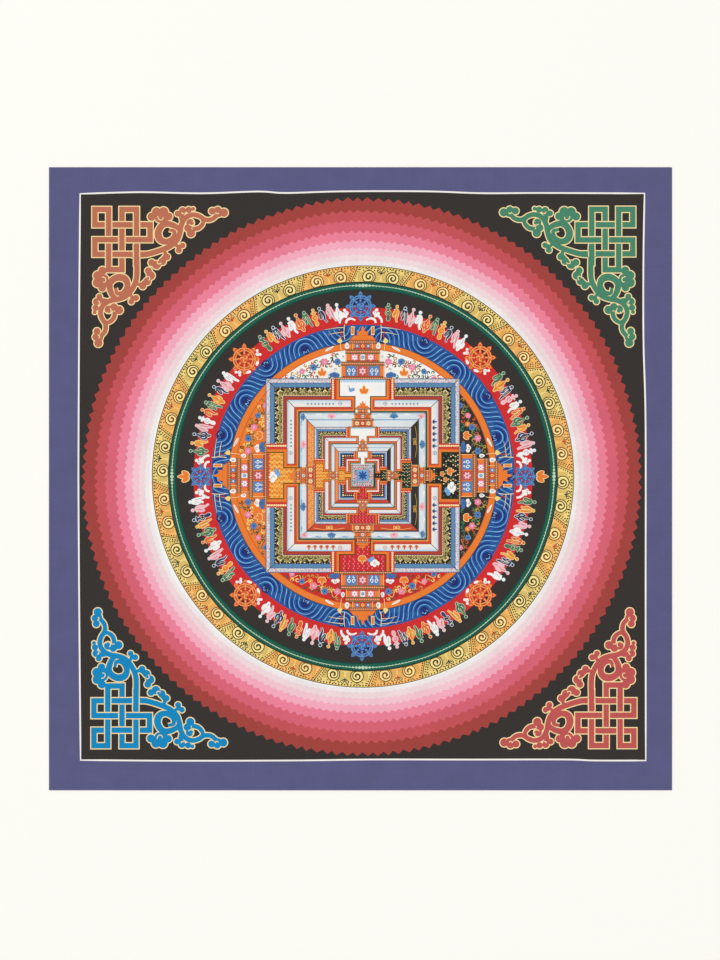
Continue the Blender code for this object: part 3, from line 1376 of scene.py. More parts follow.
# %% The row of offerings
bodies = coats("offerings", OFFERING_COLOURS, 8)
rims = coats("offering_rims", sorted(set(OFFERING_RIMS.values())), 6)
veins = coats("offering_veins", ("steel_blue", "pale_gold", "madder"), 10)
count = 0
for eighth in range(8):
    for number in range(OFFERINGS_BETWEEN):
        a = 22.5 + 45 * eighth + (number - (OFFERINGS_BETWEEN - 1) / 2) * OFFERING_STEP
        a += hand.uniform(-0.2, 0.2)
        out = OFFERING_AT + hand.uniform(-0.7, 0.7)
        lean = hand.uniform(-4, 8)
        here = MANDALA @ turned(a) @ moved(0, out) @ turned(lean)
        here = here @ sized(OFFERING_SIZE * hand.uniform(0.94, 1.05))
        name = OFFERING_COLOURS[(count + eighth) % len(OFFERING_COLOURS)]
        shape = (bud, pennant, bent_leaf, vase, pennant, bud, bent_leaf)[count % 7]
        offering(shape, bodies[name], rims[OFFERING_RIMS[name]], here)
        vein_lines(shape, veins[VEIN_ON.get(name, "pale_gold")], here)
        count += 1
dry_all(rims, bodies, veins)

# %% [markdown]
# ## The four quarters
# Inside the orange ring the ground is quartered, white at the top, red at the bottom,
# orange on the left and black on the right, the colours of the four directions. The
# palace will cover most of it, and what is left is filled with flowers and curled leaves.
# They are ordinary ones in an own order: open flowers stand along an arc, and curls fill
# every free place of a staggered grid round them.

# %% The four quarters
QUARTER_OUT = INNER_IN + 0.6
SIDE_TURN = {"top": 0, "left": 90, "bottom": 180, "right": 270}
QUARTER_PAINT = {"top": "milk", "left": "orange", "bottom": "vermilion", "right": "soot"}
PALACE_ASIDE = (-0.3, 1.2)
PALACE = MANDALA @ moved(*PALACE_ASIDE)
WALL_OUT = 118.4


def side_of(place, side):
    """The place turned so that Y points out through the named side."""
    return place @ turned(SIDE_TURN[side])


for side in SIDES:
    quarter = Coat(f"quarter_{side}", QUARTER_PAINT[side], 2)
    sector(quarter, side_of(MANDALA, side), 0.5, QUARTER_OUT, 45, 90, 36)
    dry(quarter, cut=True)


# %% Flowers and curls
def flower(petals, heart, here, x, y, radius, count=6):
    """A flat open flower: petals round a heart, and a dot between each two."""
    at = here @ moved(x, y) @ turned(hand.uniform(0, 60)) @ sized(radius)
    for number in range(count):
        petal(petals, at @ turned(360 * number / count), (0, 0.12), (0, 1.0), 0.8, 0.3, 8)
        disc(heart, at @ turned(360 * (number + 0.5) / count), 0, 0.52, 0.09, 5)
    disc(heart, at, 0, 0, 0.24, 8)


def curl(coat, here, x, y, radius, facing, way, width=1.35):
    """One hooked leaf: a short spiral that thickens in its middle."""
    path = spiral(x, y, radius, radius * 0.25, facing, way * 0.85, 12)
    stroke(coat, here, path, width, (0.5, 1.2, 0.8))


# %% Coats of the flowers and curls
CURLS = {
    "top": ["leaf_green", "deep_orange", "dark_olive", "ochre"],
    "left": ["bottle_green", "yellow_gold", "umber", "olive"],
    "bottom": ["yellow_gold", "bottle_green", "umber", "ochre"],
    "right": ["leaf_green", "ochre", "deep_orange", "olive"],
}
curls = coats("curls", ("leaf_green", "dark_olive", "olive", "bottle_green", "yellow_gold", "umber",
                        "ochre", "deep_orange"), 4)
VINE = {"top": "olive", "left": "umber", "bottom": "yellow_gold", "right": "ochre"}
flowers = coats("flowers", ("pink", "steel_blue", "orange"), 5)
hearts = coats("flower_hearts", ("shell_pink", "navy", "ivory"), 6)
HEART = {"pink": "shell_pink", "steel_blue": "navy", "orange": "ivory"}
CURL_PITCH = 4.8
FLOWER_ARC = 147.0
FLOWER_ASIDE = (-3.5, 0.5, -1.0, 1.0, 0.0)


def flower_arc(side, here, way, taken):
    """Five flowers and a vine on one half of a quarter, and a jewel by the tower."""
    for number in range(5):
        x, y = polar(FLOWER_ARC + FLOWER_ASIDE[number], 90 - way * (12.5 + 5.9 * number))
        name = "pink" if (number + (way > 0)) % 2 else "steel_blue"
        flower(flowers[name], hearts[HEART[name]], here, x, y, 4.4 if number < 3 else 3.7)
        taken.append((x, y, 5.0))
    winding = []
    for number in range(12):
        radius = FLOWER_ARC + (4.6 if number % 2 else -4.2)
        winding.append(polar(radius, 90 - way * (11.0 + 2.7 * number)))
    stroke(curls[VINE[side]], here, bend(winding, 4), 0.8)
    if side in ("right", "bottom"):
        flower(flowers["orange"], hearts["ivory"], here, way * 64, 127.5, 3.6)
        taken.append((way * 64, 127.5, 5.2))
    flame_jewel(*jewel_coats, here @ moved(way * 50, 126.5), 6.2)
    taken.append((way * 50, 126.5, 7.4))
    taken.append((way * 34, 127.0, 8.6))


# %% Flowers, vines and curls in the quarters
for side in SIDES:
    here = side_of(MANDALA, side)
    taken = []
    for way in (-1, 1):
        flower_arc(side, here, way, taken)
    for row in range(10):
        y = WALL_OUT + 3.4 + row * CURL_PITCH * 0.92
        for column in range(-24, 25):
            x = (column + 0.5 * (row % 2)) * CURL_PITCH * 1.08
            out = math.hypot(x, y)
            if out > QUARTER_OUT - 2.6 or abs(x) < 28.0:
                continue
            if any(math.hypot(x - fx, y - fy) < reach for fx, fy, reach in taken):
                continue
            name = CURLS[side][hand.randrange(4)]
            curl(curls[name], here, x + hand.uniform(-0.5, 0.5), y + hand.uniform(-0.5, 0.5),
                 hand.uniform(2.2, 2.8), hand.uniform(0, 360), hand.choice((-1, 1)))
dry_all(curls, flowers, hearts)

# %% [markdown]
# ## The palace
# The palace plan is one square wall inside the next, cut by a T shaped gate on each side.
# Inside it the same plan comes again at half the size, and then a third, simpler one. So
# the bands of a level are one table, in millimetres of the biggest, drawn at a scale. A
# band is four mitred panels. Bands lie at two heights in turn and overlap a little.

# %% Tables of the bands
BANDS = [
    (118.4, 112.8, "dove"),
    (112.8, 107.5, "slate_blue"),
    (107.5, 96.5, "olive"),
    (96.5, 92.5, "brick"),
    (92.5, 90.2, "haze"),
    (90.2, 87.4, "paper"),
    (87.4, 83.4, "bone"),
    (83.4, 80.7, "brick_orange"),
    (80.7, 78.4, "apricot"),
    (78.4, 76.9, "bottle_green"),
    (76.9, 74.2, "haze"),
    (74.2, 69.2, "paper"),
    (69.2, 68.2, "slate_blue"),
]
INNER_BANDS = [
    (29.7, 27.8, "dove"),
    (27.8, 26.2, "slate_blue"),
    (26.2, 22.0, "soot"),
    (22.0, 19.9, "brick"),
    (19.9, 17.9, "milk"),
    (17.9, 16.8, "brick_orange"),
    (16.8, 15.6, "apricot"),
    (15.6, 14.8, "bottle_green"),
]
LEVELS = [(1.0, BANDS), (0.5, BANDS), (1.0, INNER_BANDS)]
QUARTER_BAND = (68.2, 59.3)
QUARTER_SHADES = {"top": ("haze", "paper"), "left": ("brick_orange", "apricot"),
                  "bottom": ("umber", "brick_orange"), "right": ("dark_olive", "soot")}
GATE_FILL = {"top": "milk", "left": "marigold", "bottom": "vermilion", "right": "lamp_black"}
OVERLAP = 0.3

print(len(BANDS), "bands on a big level,", len(INNER_BANDS), "on the inner one")

# %% Bands of each level
bands = {}


def band_side(paint, parity, here, outer, inner):
    """One mitred side of a band, in the coat of its paint and height."""
    if (paint, parity) not in bands:
        bands[paint, parity] = Coat(f"wall_{paint}_{parity}", paint, 6 + parity)
    mitred = [(-outer, outer), (outer, outer), (inner, inner), (-inner, inner)]
    panel(bands[paint, parity], here, mitred)


for scale, table in LEVELS:
    for side in SIDES:
        here = side_of(PALACE, side) @ sized(scale)
        for number, (outer, inner, paint) in enumerate(table):
            grow = OVERLAP * (number % 2)
            band_side(paint, number % 2, here, outer + grow, inner - grow)
        if table is BANDS:
            rim, paint = QUARTER_SHADES[side]
            outer, inner = QUARTER_BAND
            band_side(rim, 0, here, outer, outer - 1.8)
            band_side(paint, 1, here, outer - 1.6, inner)
        else:
            band_side(GATE_FILL[side], 1, here, 14.9, 13.2)
for coat in bands.values():
    dry(coat, cut=True)

# %% Coats and steps of the fine work
mitres = Coat("mitre_lines", "umber", 9)
edges = Coat("band_edges", "navy", 9)
specks = coats("band_specks", ("steel_blue", "pink", "umber", "milk"), 8)
pearls = Coat("band_pearls", "ivory", 10)
pendants = Coat("band_pendants", "lamp_black", 9)
stitches = coats("band_stitches", ("pale_gold", "umber", "lamp_black", "ivory"), 8)
SPECK_DRAW = ("steel_blue", "pink", "milk", "milk", "umber")
STITCH_DRAW = ("pale_gold", "umber", "pale_gold", "lamp_black", "ivory")
CLEAR = 39.5
PENDANT_STEP = 18.3
CORNER_PENDANT = 100.5
print(len(specks), "paints for specks,", len(stitches), "for stitches")


# %% Fine work on one half of a side
def band_lines(here, way, thick):
    """The thin lines between the bands, on one half of a side."""
    for line, width in ((118.2, 0.5), (112.8, 0.35), (107.5, 0.6), (96.4, 0.4)):
        stroke(edges, here, [(way * CLEAR, line), (way * line, line)], width * thick)
    for line in (92.4, 83.5, 76.9):
        stroke(mitres, here, [(way * 14, line), (way * line, line)], 0.35 * thick)


def speck_rows(here, way, thick, rows):
    """Specks on the outermost band, and pearls along the inner edge of the olive one."""
    step = 2.0 * thick
    for number in range(int((116.0 - CLEAR) / step)):
        x = way * (CLEAR + 1.0 + number * step)
        disc(specks["umber"], here, x, 117.3, 0.5 * thick, 5)
        for row in range(rows):
            name = SPECK_DRAW[hand.randrange(5)]
            disc(specks[name], here, x + hand.uniform(-0.7, 0.7), 115.7 - row * 1.1, 0.42 * thick, 5)
        if abs(x) < 97.0:
            disc(pearls, here, x, 97.7, 0.72 * thick, 6)


def stitch_rows(here, way, scale, rows):
    """Short dashes at all angles that fill the olive band."""
    thick = scale**-0.5
    step = 1.75 * scale**-0.8
    reach = 0.6 * thick
    for number in range(int((107.0 - CLEAR) / step)):
        for row in range(rows):
            x = way * (CLEAR + 0.8 + step * (number + 0.5 * (row % 2)))
            y = 99.3 + row * 1.75 / rows * 5
            if abs(x) > y - 0.5:
                continue
            name = STITCH_DRAW[hand.randrange(5)]
            at = here @ moved(x, y) @ turned(hand.uniform(-60, 60))
            block(stitches[name], at, -reach, -0.3 * thick, reach, 0.3 * thick)


def pendant_row(here, way):
    """Dark half rings with pearls in them. The last one fills the corner."""
    for number in range(4):
        x = way * (CORNER_PENDANT if number == 3 else CLEAR + 6.5 + PENDANT_STEP * number)
        at = here @ moved(x, 102.9)
        sector(pendants, at, 2.3, 4.7, 0, 180, 10)
        for bead_x, bead_y, bead in ((0, 0.9, 1.0), (-1.7, -0.2, 0.8), (1.7, -0.2, 0.8), (0, 3.9, 0.7)):
            disc(pearls, at, bead_x, bead_y, bead, 6)
        if number == 3:
            continue
        for aside in (-6.6, 6.6):
            disc(pearls, at, aside, 3.2, 0.9, 6)
            disc(pendants, at, aside + 1.8, 3.6, 0.9, 6)
            disc(pendants, at, aside - 1.8, 3.6, 0.9, 6)


# %% Lines, specks, stitches and pendants
for scale, speck_lines, stitch_lines in ((1.0, 3, 5), (0.5, 1, 3)):
    thick = scale**-0.5
    for side in SIDES:
        here = side_of(PALACE, side) @ sized(scale)
        for start, end in ((118.4, 107.5), (92.5, 83.4), (76.9, 59.3)):
            stroke(mitres, here, [(start, start), (end, end)], 0.7 * thick)
        for way in (-1, 1):
            band_lines(here, way, thick)
            speck_rows(here, way, thick, speck_lines)
            stitch_rows(here, way, scale, stitch_lines)
            pendant_row(here, way)

# %% Pearls and lines of the inner level
for side in SIDES:
    here = side_of(PALACE, side)
    for way in (-1, 1):
        for number in range(6):
            disc(pearls, here, way * (11.5 + 2.3 * number), 24.1, 0.75, 6)
        disc(pearls, here, way * 24.1, 24.1, 1.0, 6)
        for line in (29.5, 26.2):
            stroke(edges, here, [(way * 10.5, line), (way * line, line)], 0.6)
dry_all(mitres, edges, specks, pearls, pendants, stitches)

# %% [markdown]
# On the pale band lotuses float, pink and blue in turn, between thin clouds. The wall
# outside it carries a row of tiny buds and one ring on each half of a side.

# %% Lotuses
lotuses = coats("band_lotuses", ("rose_milk", "slate_blue"), 9)
lotus_hearts = coats("band_lotus_hearts", ("peony", "wheel_blue"), 10)


def band_lotus(number, here, x, y, size):
    """Two rows of rounded petals, open to the top."""
    outer, inner = (("rose_milk", "peony"), ("slate_blue", "wheel_blue"))[number % 2]
    at = here @ moved(x, y) @ sized(size)
    for degrees in (-75, -45, -15, 15, 45, 75):
        petal(lotuses[outer], at @ turned(degrees), (0, -0.25), (0, 1.0), 0.5, 0.3, 8)
    for degrees in (-60, -20, 20, 60, 180):
        petal(lotus_hearts[inner], at @ turned(degrees), (0, -0.1), (0, 0.6), 0.14, 0.3, 6)


print(len(lotuses), "kinds of lotus")

# %% Thin clouds and small marks
wisps = coats("band_wisps", ("milk", "haze", "lake_blue"), 8)
MARK_PAINT = {"top": "slate_blue", "left": "slate_blue", "bottom": "deep_orange", "right": "steel_dark"}
MANY_SMALL = (0.6, 4.4, 8)
FEW_LARGE = (1.25, 7.4, 5)
wall_marks = coats("wall_marks", sorted(set(MARK_PAINT.values())), 9)


def thin_cloud(name, here, x):
    """A waved streak of cloud over a straight pale one."""
    path = bend([(x - 3.5, 74.0), (x - 1, 75.2), (x + 1.5, 74.2), (x + 4, 75.0)], 3)
    stroke(wisps[name], here, path, 1.5, (0.3, 1, 0.3))
    stroke(wisps["haze"], here, [(x - 5, 70.4), (x + 5, 70.2)], 0.8, (0.3, 1, 0.3))


def mark_row(ink, here, way, size, pitch, marks_here):
    """A small ring with a dot in it, and a row of buds with two leaves."""
    stroke(ink, here, arc(way * 27.5, 87.8, 2.1, 0, 360, 12)[:-1], 0.5, closed=True)
    disc(ink, here, way * 27.5, 87.8, 0.7, 6)
    for number in range(marks_here):
        at = here @ moved(way * (36.0 + pitch * number), 87.6) @ sized(size)
        petal(ink, at, (0, -2.2), (0, 2.6), 2.0, 0.7, 8)
        for aside in (-1, 1):
            petal(ink, at, (0, -2.2), (aside * 2.2, 0.2), 1.2, 0.5, 6)


for turn, side in enumerate(SIDES):
    here = side_of(PALACE, side)
    for way in (-1, 1):
        band_lotus(turn + (way > 0), here, way * 38.0, 71.0, 5.9)
        band_lotus(turn, here, 71.5, 71.5, 5.0)
        for number in range(5):
            x = way * (21 + 11 * number)
            if abs(abs(x) - 38) > 5:
                thin_cloud(("milk", "haze", "lake_blue")[(number + turn) % 3], here, x)
        mark_size = MANY_SMALL if side in ("top", "left") else FEW_LARGE
        mark_row(wall_marks[MARK_PAINT[side]], here, way, *mark_size)
dry_all(lotuses, lotus_hearts, wisps, wall_marks)

# %% Scrolls on the quarter bands
sprigs = coats("band_sprigs", ("ochre", "yellow_gold", "orange_gold", "mist"), 9)
SPRIG_PAINT = {"top": "mist", "left": "yellow_gold", "bottom": "orange_gold", "right": "ochre"}


def sprig(ink, here, middle):
    """A leaf between two pairs of curls, with a long line to each side."""
    for flip in (-1, 1):
        line = bend([(middle, 63.6), (middle + flip * 6, 65.8), (middle + flip * 19, 64.0)], 4)
        for start, turns, reach in ((60, 0.9, 2.3), (-60, -0.9, 2.0)):
            wind = spiral(middle + flip * 2.6, 63.6, reach, 0.5, start * flip, turns * flip, 12)
            stroke(ink, here, wind, 0.7)
            stroke(ink, here, line, 0.6)
    petal(ink, here, (middle, 61.2), (middle, 66.4), 2.0, 0.5, 8)


for side in SIDES:
    here = side_of(PALACE, side)
    ink = sprigs[SPRIG_PAINT[side]]
    for way in (-1, 1):
        if side in ("right", "bottom"):
            sprig(ink, here, way * 41)
        elif side == "left":
            for number in range(51):
                dot = ink if number % 4 else sprigs["ochre"]
                disc(dot, here, way * (17.5 + 0.8 * number), 61.2 + 2.2 * (number % 3), 0.65, 6)
        else:
            for number in range(8):
                stroke(ink, here, [(way * (20 + 5 * number), 61.5), (way * (23 + 5 * number), 61.5)], 0.6)
dry_all(sprigs)

# %% [markdown]
# ## Gates
# A gate is a T: wide at the outer wall and narrow where it goes in. Its edge repeats the
# wall's own order, red, orange and a dark line, so each colour is a T a little bigger
# than the next, and the wall bands run into it. The posts carry a row of beads.

# %% Plans of the gates
GATE = {
    "post": (38.9, 92.3, 14.4, 92.2),
    "red": (33.6, 91.8, 14.4, 80.7),
    "orange": (31.8, 92.9, 12.3, 78.4),
    "dark": (28.9, 95.8, 10.0, 76.9),
    "fill": (27.7, 96.9, 8.8, 76.7),
}
INNER_GATE = {
    "post": (11.2, 20.2, 5.0, 20.0),
    "red": (9.0, 19.9, 5.0, 16.8),
    "orange": (8.4, 20.4, 4.2, 15.6),
    "dark": (6.6, 21.3, 3.0, 14.8),
    "fill": (5.9, 21.9, 2.2, 13.4),
}
GATES = [(1.0, 1.0, GATE, WALL_OUT), (0.5, 1.07, GATE, WALL_OUT), (1.0, 1.0, INNER_GATE, 29.7)]
print(4 * len(GATES), "gates")

# %% T gates
gate_coats = {
    "post": Coat("gate_posts", "vermilion", 9),
    "red": Coat("gate_reds", "brick_orange", 10),
    "orange": Coat("gate_oranges", "orange", 11),
    "dark": Coat("gate_lines", "dark_olive", 12),
}
gate_fills = {side: Coat(f"gate_fill_{side}", GATE_FILL[side], 13) for side in SIDES}


def gate_place(side, scale, widen):
    """The palace's middle, turned to a side and drawn at the size of a level."""
    return side_of(PALACE, side) @ Matrix.Diagonal((scale * widen, scale, scale, 1))


for scale, widen, plan, wall in GATES:
    for side in SIDES:
        here = gate_place(side, scale, widen)
        for part, (wide, foot, neck, neck_foot) in plan.items():
            coat = gate_fills[side] if part == "fill" else gate_coats[part]
            block(coat, here, -wide, foot, wide, wall)
            if part != "post":
                block(coat, here, -neck, neck_foot, neck, foot)
dry_all(gate_coats, gate_fills)

# %% Coats of the fine work on the gates
FILL_MARKS = {"left": ("yellow_gold", "deep_orange"), "bottom": ("peony", "madder"),
              "right": ("ivory", "leaf_green")}
MARKED_SHARE = {"left": 0.85, "bottom": 0.8, "right": 0.5}
VALANCE = {"top": "sky", "left": "brick_orange"}
marks = coats("gate_marks", ("sky", "brick_orange", "yellow_gold", "deep_orange", "peony", "madder",
                             "ivory", "leaf_green"), 14)
post_dots = Coat("gate_post_dots", "ivory", 11)
sprays = coats("gate_clouds", ("chalk", "lake_blue", "steel_dark"), 15)
CLOUD_PUFFS = [("lake_blue", 2.6, -2.4, 2.6), ("lake_blue", 5.2, -1.8, 1.9), ("chalk", 0, 0, 2.6),
               ("chalk", -2.6, 1.2, 1.9), ("chalk", 2.6, 1.4, 2.1), ("chalk", 0.4, 3.0, 1.7)]
print(len(marks), "paints for the marks in the gates")


# %% Fine work on one gate
def cloud_spray(side, x, y, size):
    """A small free cloud in white and blue in a gate, with a dark hook."""
    here = side_of(PALACE, side)
    for name, ox, oy, radius in CLOUD_PUFFS:
        disc(sprays[name], here, x + size * ox, y + size * oy, size * radius, 12)
    hook = sprays["steel_dark"]
    hook.level += 1
    stroke(hook, here, spiral(x, y + size * 0.6, size * 1.7, size * 0.5, 140, -0.8, 9), 0.5)
    stroke(hook, here, [(x + size * 4, y - size * 2.6), (x + size * 6.6, y - size * 3.4)], 0.45)
    hook.level -= 1


def post_beads(here, plan, wall, count_here):
    """A row of beads on both posts, between the post's edge and the red."""
    post_wide, post_foot, *_ = plan["post"]
    red_wide = plan["red"][0]
    for way in (-1, 1):
        for number in range(count_here):
            y = post_foot + (wall - post_foot) * (number + 0.7) / (count_here + 0.4)
            disc(post_dots, here, way * (post_wide + red_wide) / 2, y, 0.26 * (post_wide - red_wide), 8)


def valance(ruffle, here, wide, wall, scallops):
    """A cloth band under the upper edge of a gate's fill, with a scalloped hem."""
    ruffle.level += 1
    block(ruffle, here, -wide + 0.6, wall - 0.13 * wide, wide - 0.6, wall - 0.3)
    for number in range(scallops):
        x = (-wide + 1.8) + (2 * wide - 3.6) * number / (scallops - 1)
        disc(ruffle, here, x, wall - 0.13 * wide, 0.055 * wide, 8)
    ruffle.level -= 1


def fill_marks(side, here, plan, wall, step, share):
    """Rows of small petals in two paints on a gate's fill, with some left out by chance."""
    wide, foot, neck, neck_foot = plan["fill"]
    for row in range(int((wall - neck_foot) / step)):
        y = neck_foot + (row + 0.6) * step
        half_width = (wide if y > foot else neck) - 0.7
        reach = int(half_width / step) + 1
        for number in range(-reach, reach + 1):
            x = step * (number + 0.5 * (row % 2))
            if abs(x) > half_width or hand.random() > share:
                continue
            ink = marks[FILL_MARKS[side][(number + row) % 2]]
            tip = (x + hand.uniform(-0.3, 0.3), y + 0.42 * step)
            petal(ink, here, (x, y - 0.36 * step), tip, 0.6 * step, 0.8, 6)


# %% Beads, valances and marks
for side in SIDES:
    for scale, widen, plan, wall in GATES:
        here = gate_place(side, scale, widen)
        inner = plan is INNER_GATE
        post_beads(here, plan, wall, 4 if inner else (9 if scale == 1.0 else 6))
        if side in VALANCE:
            valance(marks[VALANCE[side]], here, plan["fill"][0], wall, 9 if inner else 15)
        if side in FILL_MARKS:
            step = 1.6 if inner else 2.9 * scale**-0.4
            fill_marks(side, here, plan, wall, step, MARKED_SHARE[side] + 0.3 * (scale < 1.0))

# %% Clouds and jewels in the gates
for side, x, y, size in (("top", -17.0, 107.0, 1.05), ("left", -2.0, 108.0, 1.5),
                         ("right", 14.0, 107.0, 1.5), ("bottom", -15.0, 105.5, 1.3)):
    cloud_spray(side, x, y, size)
for side, x, y, size in (("top", 1.5, 103.6, 6.6), ("right", -5.0, 106.5, 5.4), ("right", 5.0, 101.0, 3.6),
                         ("right", -2.0, 97.0, 3.8), ("bottom", 0.5, 101.6, 6.0)):
    flame_jewel(*jewel_coats, side_of(PALACE, side) @ moved(x, y), size)
dry_all(post_dots, marks, sprays)

# %% [markdown]
# ## Towers over the gates
# Over every gate stands a small tower in tiers: beams with a bead moulding, orange
# columns, and painted panels between them with plain flowers and curls. The tower of an
# inner level stands in the gate of the level outside it.

# %% Plans of the towers
BEAMS = [(116.9, 119.6, 35.5), (133.9, 138.8, 26.5), (148.2, 153.6, 21.0), (161.0, 164.6, 17.5)]
TIERS = [
    (119.6, 133.9, 26.2, [(0, 5.4, "rose_red"), (7.2, 20.6, "steel_blue")]),
    (138.8, 148.2, 20.6, [(0, 3.0, "mist"), (5.4, 14.4, "peony")]),
    (153.6, 161.0, 12.8, [(0, 3.3, "vermilion"), (4.6, 8.8, "steel_blue")]),
]
ART = {"rose_red": "shell_pink", "steel_blue": "milk", "mist": "steel_blue", "peony": "milk",
       "vermilion": "orange_gold"}
SMALL_PANELS = {"rose_red": "vermilion", "steel_blue": "terracotta", "mist": "mist", "peony": "apricot",
                "vermilion": "vermilion"}
SMALL_ART = {"vermilion": "ivory", "terracotta": "ivory", "mist": "steel_blue", "apricot": "vermilion"}
print(len(BEAMS), "beams,", len(TIERS), "tiers")

# %% Coats of the towers
beams = Coat("tower_beams", "olive", 17)
beam_lines = coats("tower_beam_lines", ("bottle_green", "brick_orange", "ivory"), 18)
columns = Coat("tower_columns", "orange", 15)
column_lines = Coat("tower_column_lines", "brick", 16)
tower_panels = coats("tower_panels", sorted({*ART, *SMALL_ART}), 16)
panel_art = coats("tower_art", sorted({*ART.values(), *SMALL_ART.values()}), 17)
roofs = Coat("tower_roofs", "orange", 16)
roof_edges = Coat("tower_roof_edges", "brick_orange", 15)
tower_clouds = coats("tower_clouds", ("chalk", "wheel_blue"), 15)
cloud_hooks = Coat("tower_cloud_hooks", "steel_dark", 17)
parasols = Coat("tower_parasols", "yellow_gold", 17)
ribbons = Coat("tower_ribbons", "ivory", 16)
print(len(tower_panels), "panel paints with", len(panel_art), "for the art on them")


# %% Beams
def beam(here, scale, low_y, high_y, half_width):
    """An olive beam with a red heart, a green lower line and a row of ivory beads."""
    thick = scale**-0.5
    heart = 0.26 * (high_y - low_y)
    lower_line = [(-half_width, low_y + 0.4), (half_width, low_y + 0.4)]
    block(beams, here, -half_width, low_y, half_width, high_y)
    block(beam_lines["brick_orange"], here, -half_width + 0.5, low_y + heart, half_width - 0.5,
          high_y - heart)
    stroke(beam_lines["bottle_green"], here, lower_line, 0.6 * thick)
    beads = beam_lines["ivory"]
    beads.level += 1
    step = 2.2 * scale**-0.7
    for number in range(int(2 * half_width / step)):
        disc(beads, here, -half_width + step * (number + 0.5), (low_y + high_y) / 2, 0.6 * thick, 6)
    beads.level -= 1


# %% Tiers with their panels
def curl_pairs(art, middle):
    """Two mirrored pairs of curls, for the widest panels."""
    for way in (-1, 1):
        stroke(art, middle, spiral(way * 3.4, 0.6, 2.7, 0.6, 90, way * 1.1, 14), 0.95)
        stroke(art, middle, spiral(way * 3.0, -3.4, 1.5, 0.5, -90, -way * 0.8, 8), 0.8)


def open_flower(art, middle, reach):
    """Six petals about the middle of a panel."""
    for number in range(6):
        petal(art, middle @ turned(60 * number), (0, 0.2 * reach), (0, reach), 0.55 * reach, 0.4, 6)


def tower_panel(here, scale, name, left, right, low_y, high_y, curled):
    """One painted panel between thin columns, with curls or a flower on it."""
    block(tower_panels[name], here, left, low_y + 1.9, right, high_y - 0.4)
    for x in (left, right):
        stroke(column_lines, here, [(x, low_y + 0.8), (x, high_y)], 0.6 * scale**-0.5)
    art = panel_art[(ART if scale == 1.0 else SMALL_ART)[name]]
    middle = here @ moved((left + right) / 2, (low_y + high_y) / 2 + 0.6)
    if curled:
        curl_pairs(art, middle)
    else:
        open_flower(art, middle, min((right - left) / 2, (high_y - low_y) / 2) - 0.7)


def tier(number, here, scale, low_y, high_y, half_width, panels):
    """One storey: a wide column, its sill, its panels and a light line at each end."""
    block(columns, here, -half_width, low_y, half_width, high_y)
    stroke(column_lines, here, [(-half_width, low_y + 0.9), (half_width, low_y + 0.9)], 1.6)
    for x0, x1, large_name in panels:
        name = large_name if scale == 1.0 else SMALL_PANELS[large_name]
        curled = number == 0 and scale == 1.0 and name == "steel_blue"
        for way in ((1,) if x0 == 0 else (-1, 1)):
            left, right = (-x1, x1) if x0 == 0 else sorted((way * x0, way * x1))
            tower_panel(here, scale, name, left, right, low_y, high_y, curled)
    for x in (-half_width + 0.6, half_width - 0.6):
        stroke(beam_lines["ivory"], here, [(x, low_y), (x, high_y)], 0.5 * scale**-0.5)


# %% Roof
def roof(here):
    """Two stacked roofs with a flame shaped finial and two small horns."""
    block(roof_edges, here, -15.8, 164.6, 15.8, 167.2)
    panel(roofs, here, [(-15.2, 165.4), (15.2, 165.4), (11.5, 170.6), (-11.5, 170.6)])
    block(roof_edges, here, -7.4, 170.2, 7.4, 171.8)
    panel(roofs, here, [(-6.6, 170.8), (6.6, 170.8), (3.6, 176.4), (-3.6, 176.4)])
    petal(roofs, here, (0, 175.4), (0, 182.4), 4.2, 0.8)
    for way in (-1, 1):
        petal(roofs, here, (way * 4.5, 171.5), (way * 6.6, 177.5), 3.0, 0.8)


# %% What stands beside a big tower
def beside_tower(out):
    """A banner, clouds, buds and a parasol with ribbons, on one side of the tower."""
    block(ribbons, out, 10.2, 171.4, 14.4, 182.0)
    roofs.level += 1
    block(roofs, out, 10.9, 172.6, 13.7, 181.2)
    roofs.level -= 1
    puffs(tower_clouds["wheel_blue"], out, ((31.1, 122.2, 2.9), (34.5, 122.9, 3.3), (38.1, 122.4, 2.7)))
    puffs(tower_clouds["chalk"], out, ((30.6, 128.2, 2.5), (33.8, 129.4, 2.8), (36.6, 128.2, 1.9)))
    petal(tower_clouds["chalk"], out, (46.0, 151.6), (35.0, 157.6), 2.8, 0.5, 12)
    stroke(cloud_hooks, out, bend([(44.5, 152.6), (41.0, 154.0), (37.5, 156.4)], 3), 0.4, (0.4, 1, 0.4))
    for x, y, tall in ((18.8, 154.4, 8.0), (24.0, 142.0, 6.8)):
        petal(tower_clouds["chalk"], out, (x, y), (x + 0.6, y + tall), 0.7 * tall, 0.5, 12)
        hook = spiral(x + 0.2, y + 0.42 * tall, 0.2 * tall, 0.4, 60, 0.9, 9)
        stroke(cloud_hooks, out, hook, 0.5)
    stroke(cloud_hooks, out, spiral(33.6, 129.2, 1.9, 0.5, 200, -0.9, 9), 0.5)
    stroke(cloud_hooks, out, spiral(34.4, 122.6, 2.0, 0.6, 20, 0.8, 9), 0.5)
    petal(parasols, out, (28.4, 161.4), (27.2, 168.6), 7.6, 1.1, 12)
    tassel = bend([(27, 167.5), (25, 171), (27, 174), (25.5, 177)], 4)
    stroke(column_lines, out, tassel, 1.3, (1, 1, 0.5))
    stroke(ribbons, out, [(26.0, 150.0), (27.5, 162.5)], 0.7)
    for y, end in ((180.0, 46.0), (174.0, 42.0)):
        stroke(ribbons, out, bend([(22.5, y + 0.8), (32, y), (end, y - 2.2)], 4), 0.8, (1, 1, 0.4))
    stroke(ribbons, out, bend([(22.0, 166.0), (22.8, 174.0), (22.2, 184.0)], 4), 0.9)


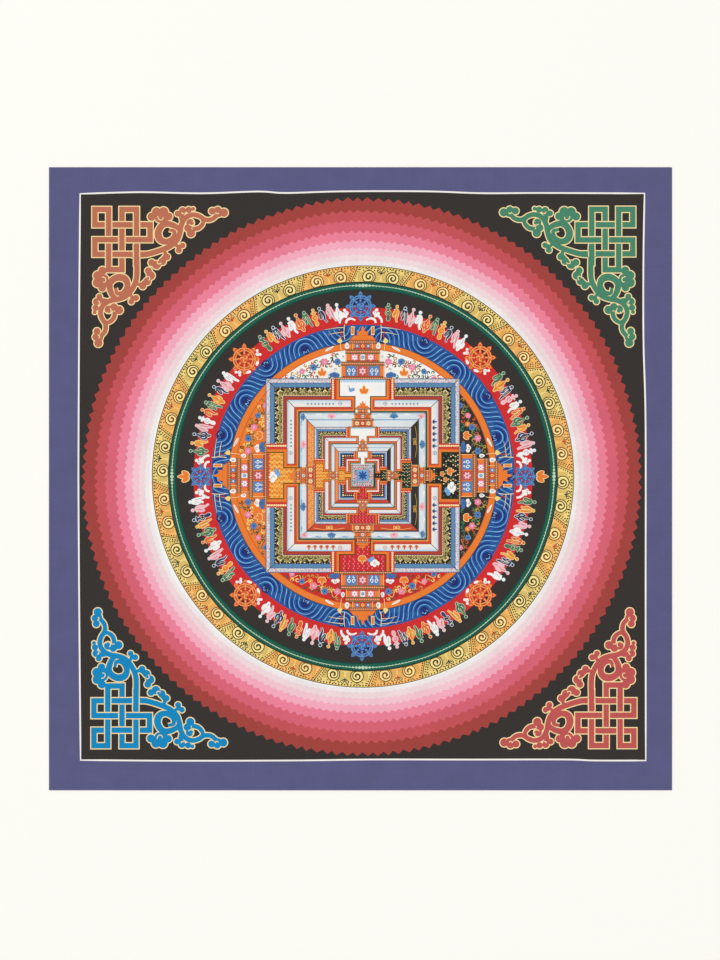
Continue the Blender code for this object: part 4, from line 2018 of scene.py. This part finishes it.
# %% Towers at three sizes
def tower(here, scale):
    """A tower in millimetres of the biggest level, standing on the palace wall."""
    for measures in BEAMS:
        beam(here, scale, *measures)
    for number, measures in enumerate(TIERS):
        tier(number, here, scale, *measures)
    roof(here)
    if scale == 1.0:
        for way in (-1, 1):
            beside_tower(here @ stretched(way, 1))


for side in SIDES:
    for scale in (1.0, 0.5, 0.25):
        tower(side_of(PALACE, side) @ sized(scale), scale)
dry_all(beams, beam_lines, columns, column_lines, tower_panels, panel_art, roofs, roof_edges,
        tower_clouds, cloud_hooks, parasols, ribbons, *jewel_coats)

# %% [markdown]
# ## The middle
# The innermost square holds a lotus: eight dark petals on pale blue, inside a border of
# small flowers in many colours.

# %% Border of the middle
middle_border = Coat("middle_border", "dove", 8)
block(middle_border, PALACE, -13.3, -13.3, 13.3, 13.3)
middle_line = Coat("middle_lines", "umber", 9)
for half_width in (13.3, 7.2):
    square = [(half_width * x, half_width * y) for x, y in ((-1, -1), (1, -1), (1, 1), (-1, 1))]
    stroke(middle_line, PALACE, square, 0.6, closed=True)
middle_marks = coats("middle_marks", ("deep_orange", "steel_blue", "rose", "leaf_green", "umber"), 10)
for row in range(3):
    reach = 8.5 + 1.8 * row
    for side in SIDES:
        here = side_of(PALACE, side)
        for number in range(9 + row):
            x = -reach + 2 * reach * number / (9 + row)
            ink = list(middle_marks.values())[hand.randrange(5)]
            disc(ink, here, x + hand.uniform(-0.3, 0.3), reach, hand.uniform(0.6, 0.95), 6)
print("the border takes", len(middle_marks), "paints")

# %% Lotus in the middle
middle_field = Coat("middle_field", "lake_blue", 10)
block(middle_field, PALACE, -6.9, -6.6, 6.9, 6.6)
lotus = Coat("middle_lotus", "water_blue", 12)
lotus_heart = Coat("middle_lotus_heart", "steel_dark", 14)
for number in range(8):
    eighth = PALACE @ turned(45 * number)
    petal(lotus, eighth, (0, 0.6), (0, 6.3 if number % 2 else 5.6), 2.1, 0.4)
    disc(lotus_heart, eighth, 0, 4.6, 0.6, 6)
disc(lotus, PALACE, 0, 0, 2.4, 16)
disc(lotus_heart, PALACE, 0, 0, 0.9, 10)
dry_all(middle_border, middle_line, middle_marks, middle_field, lotus, lotus_heart)
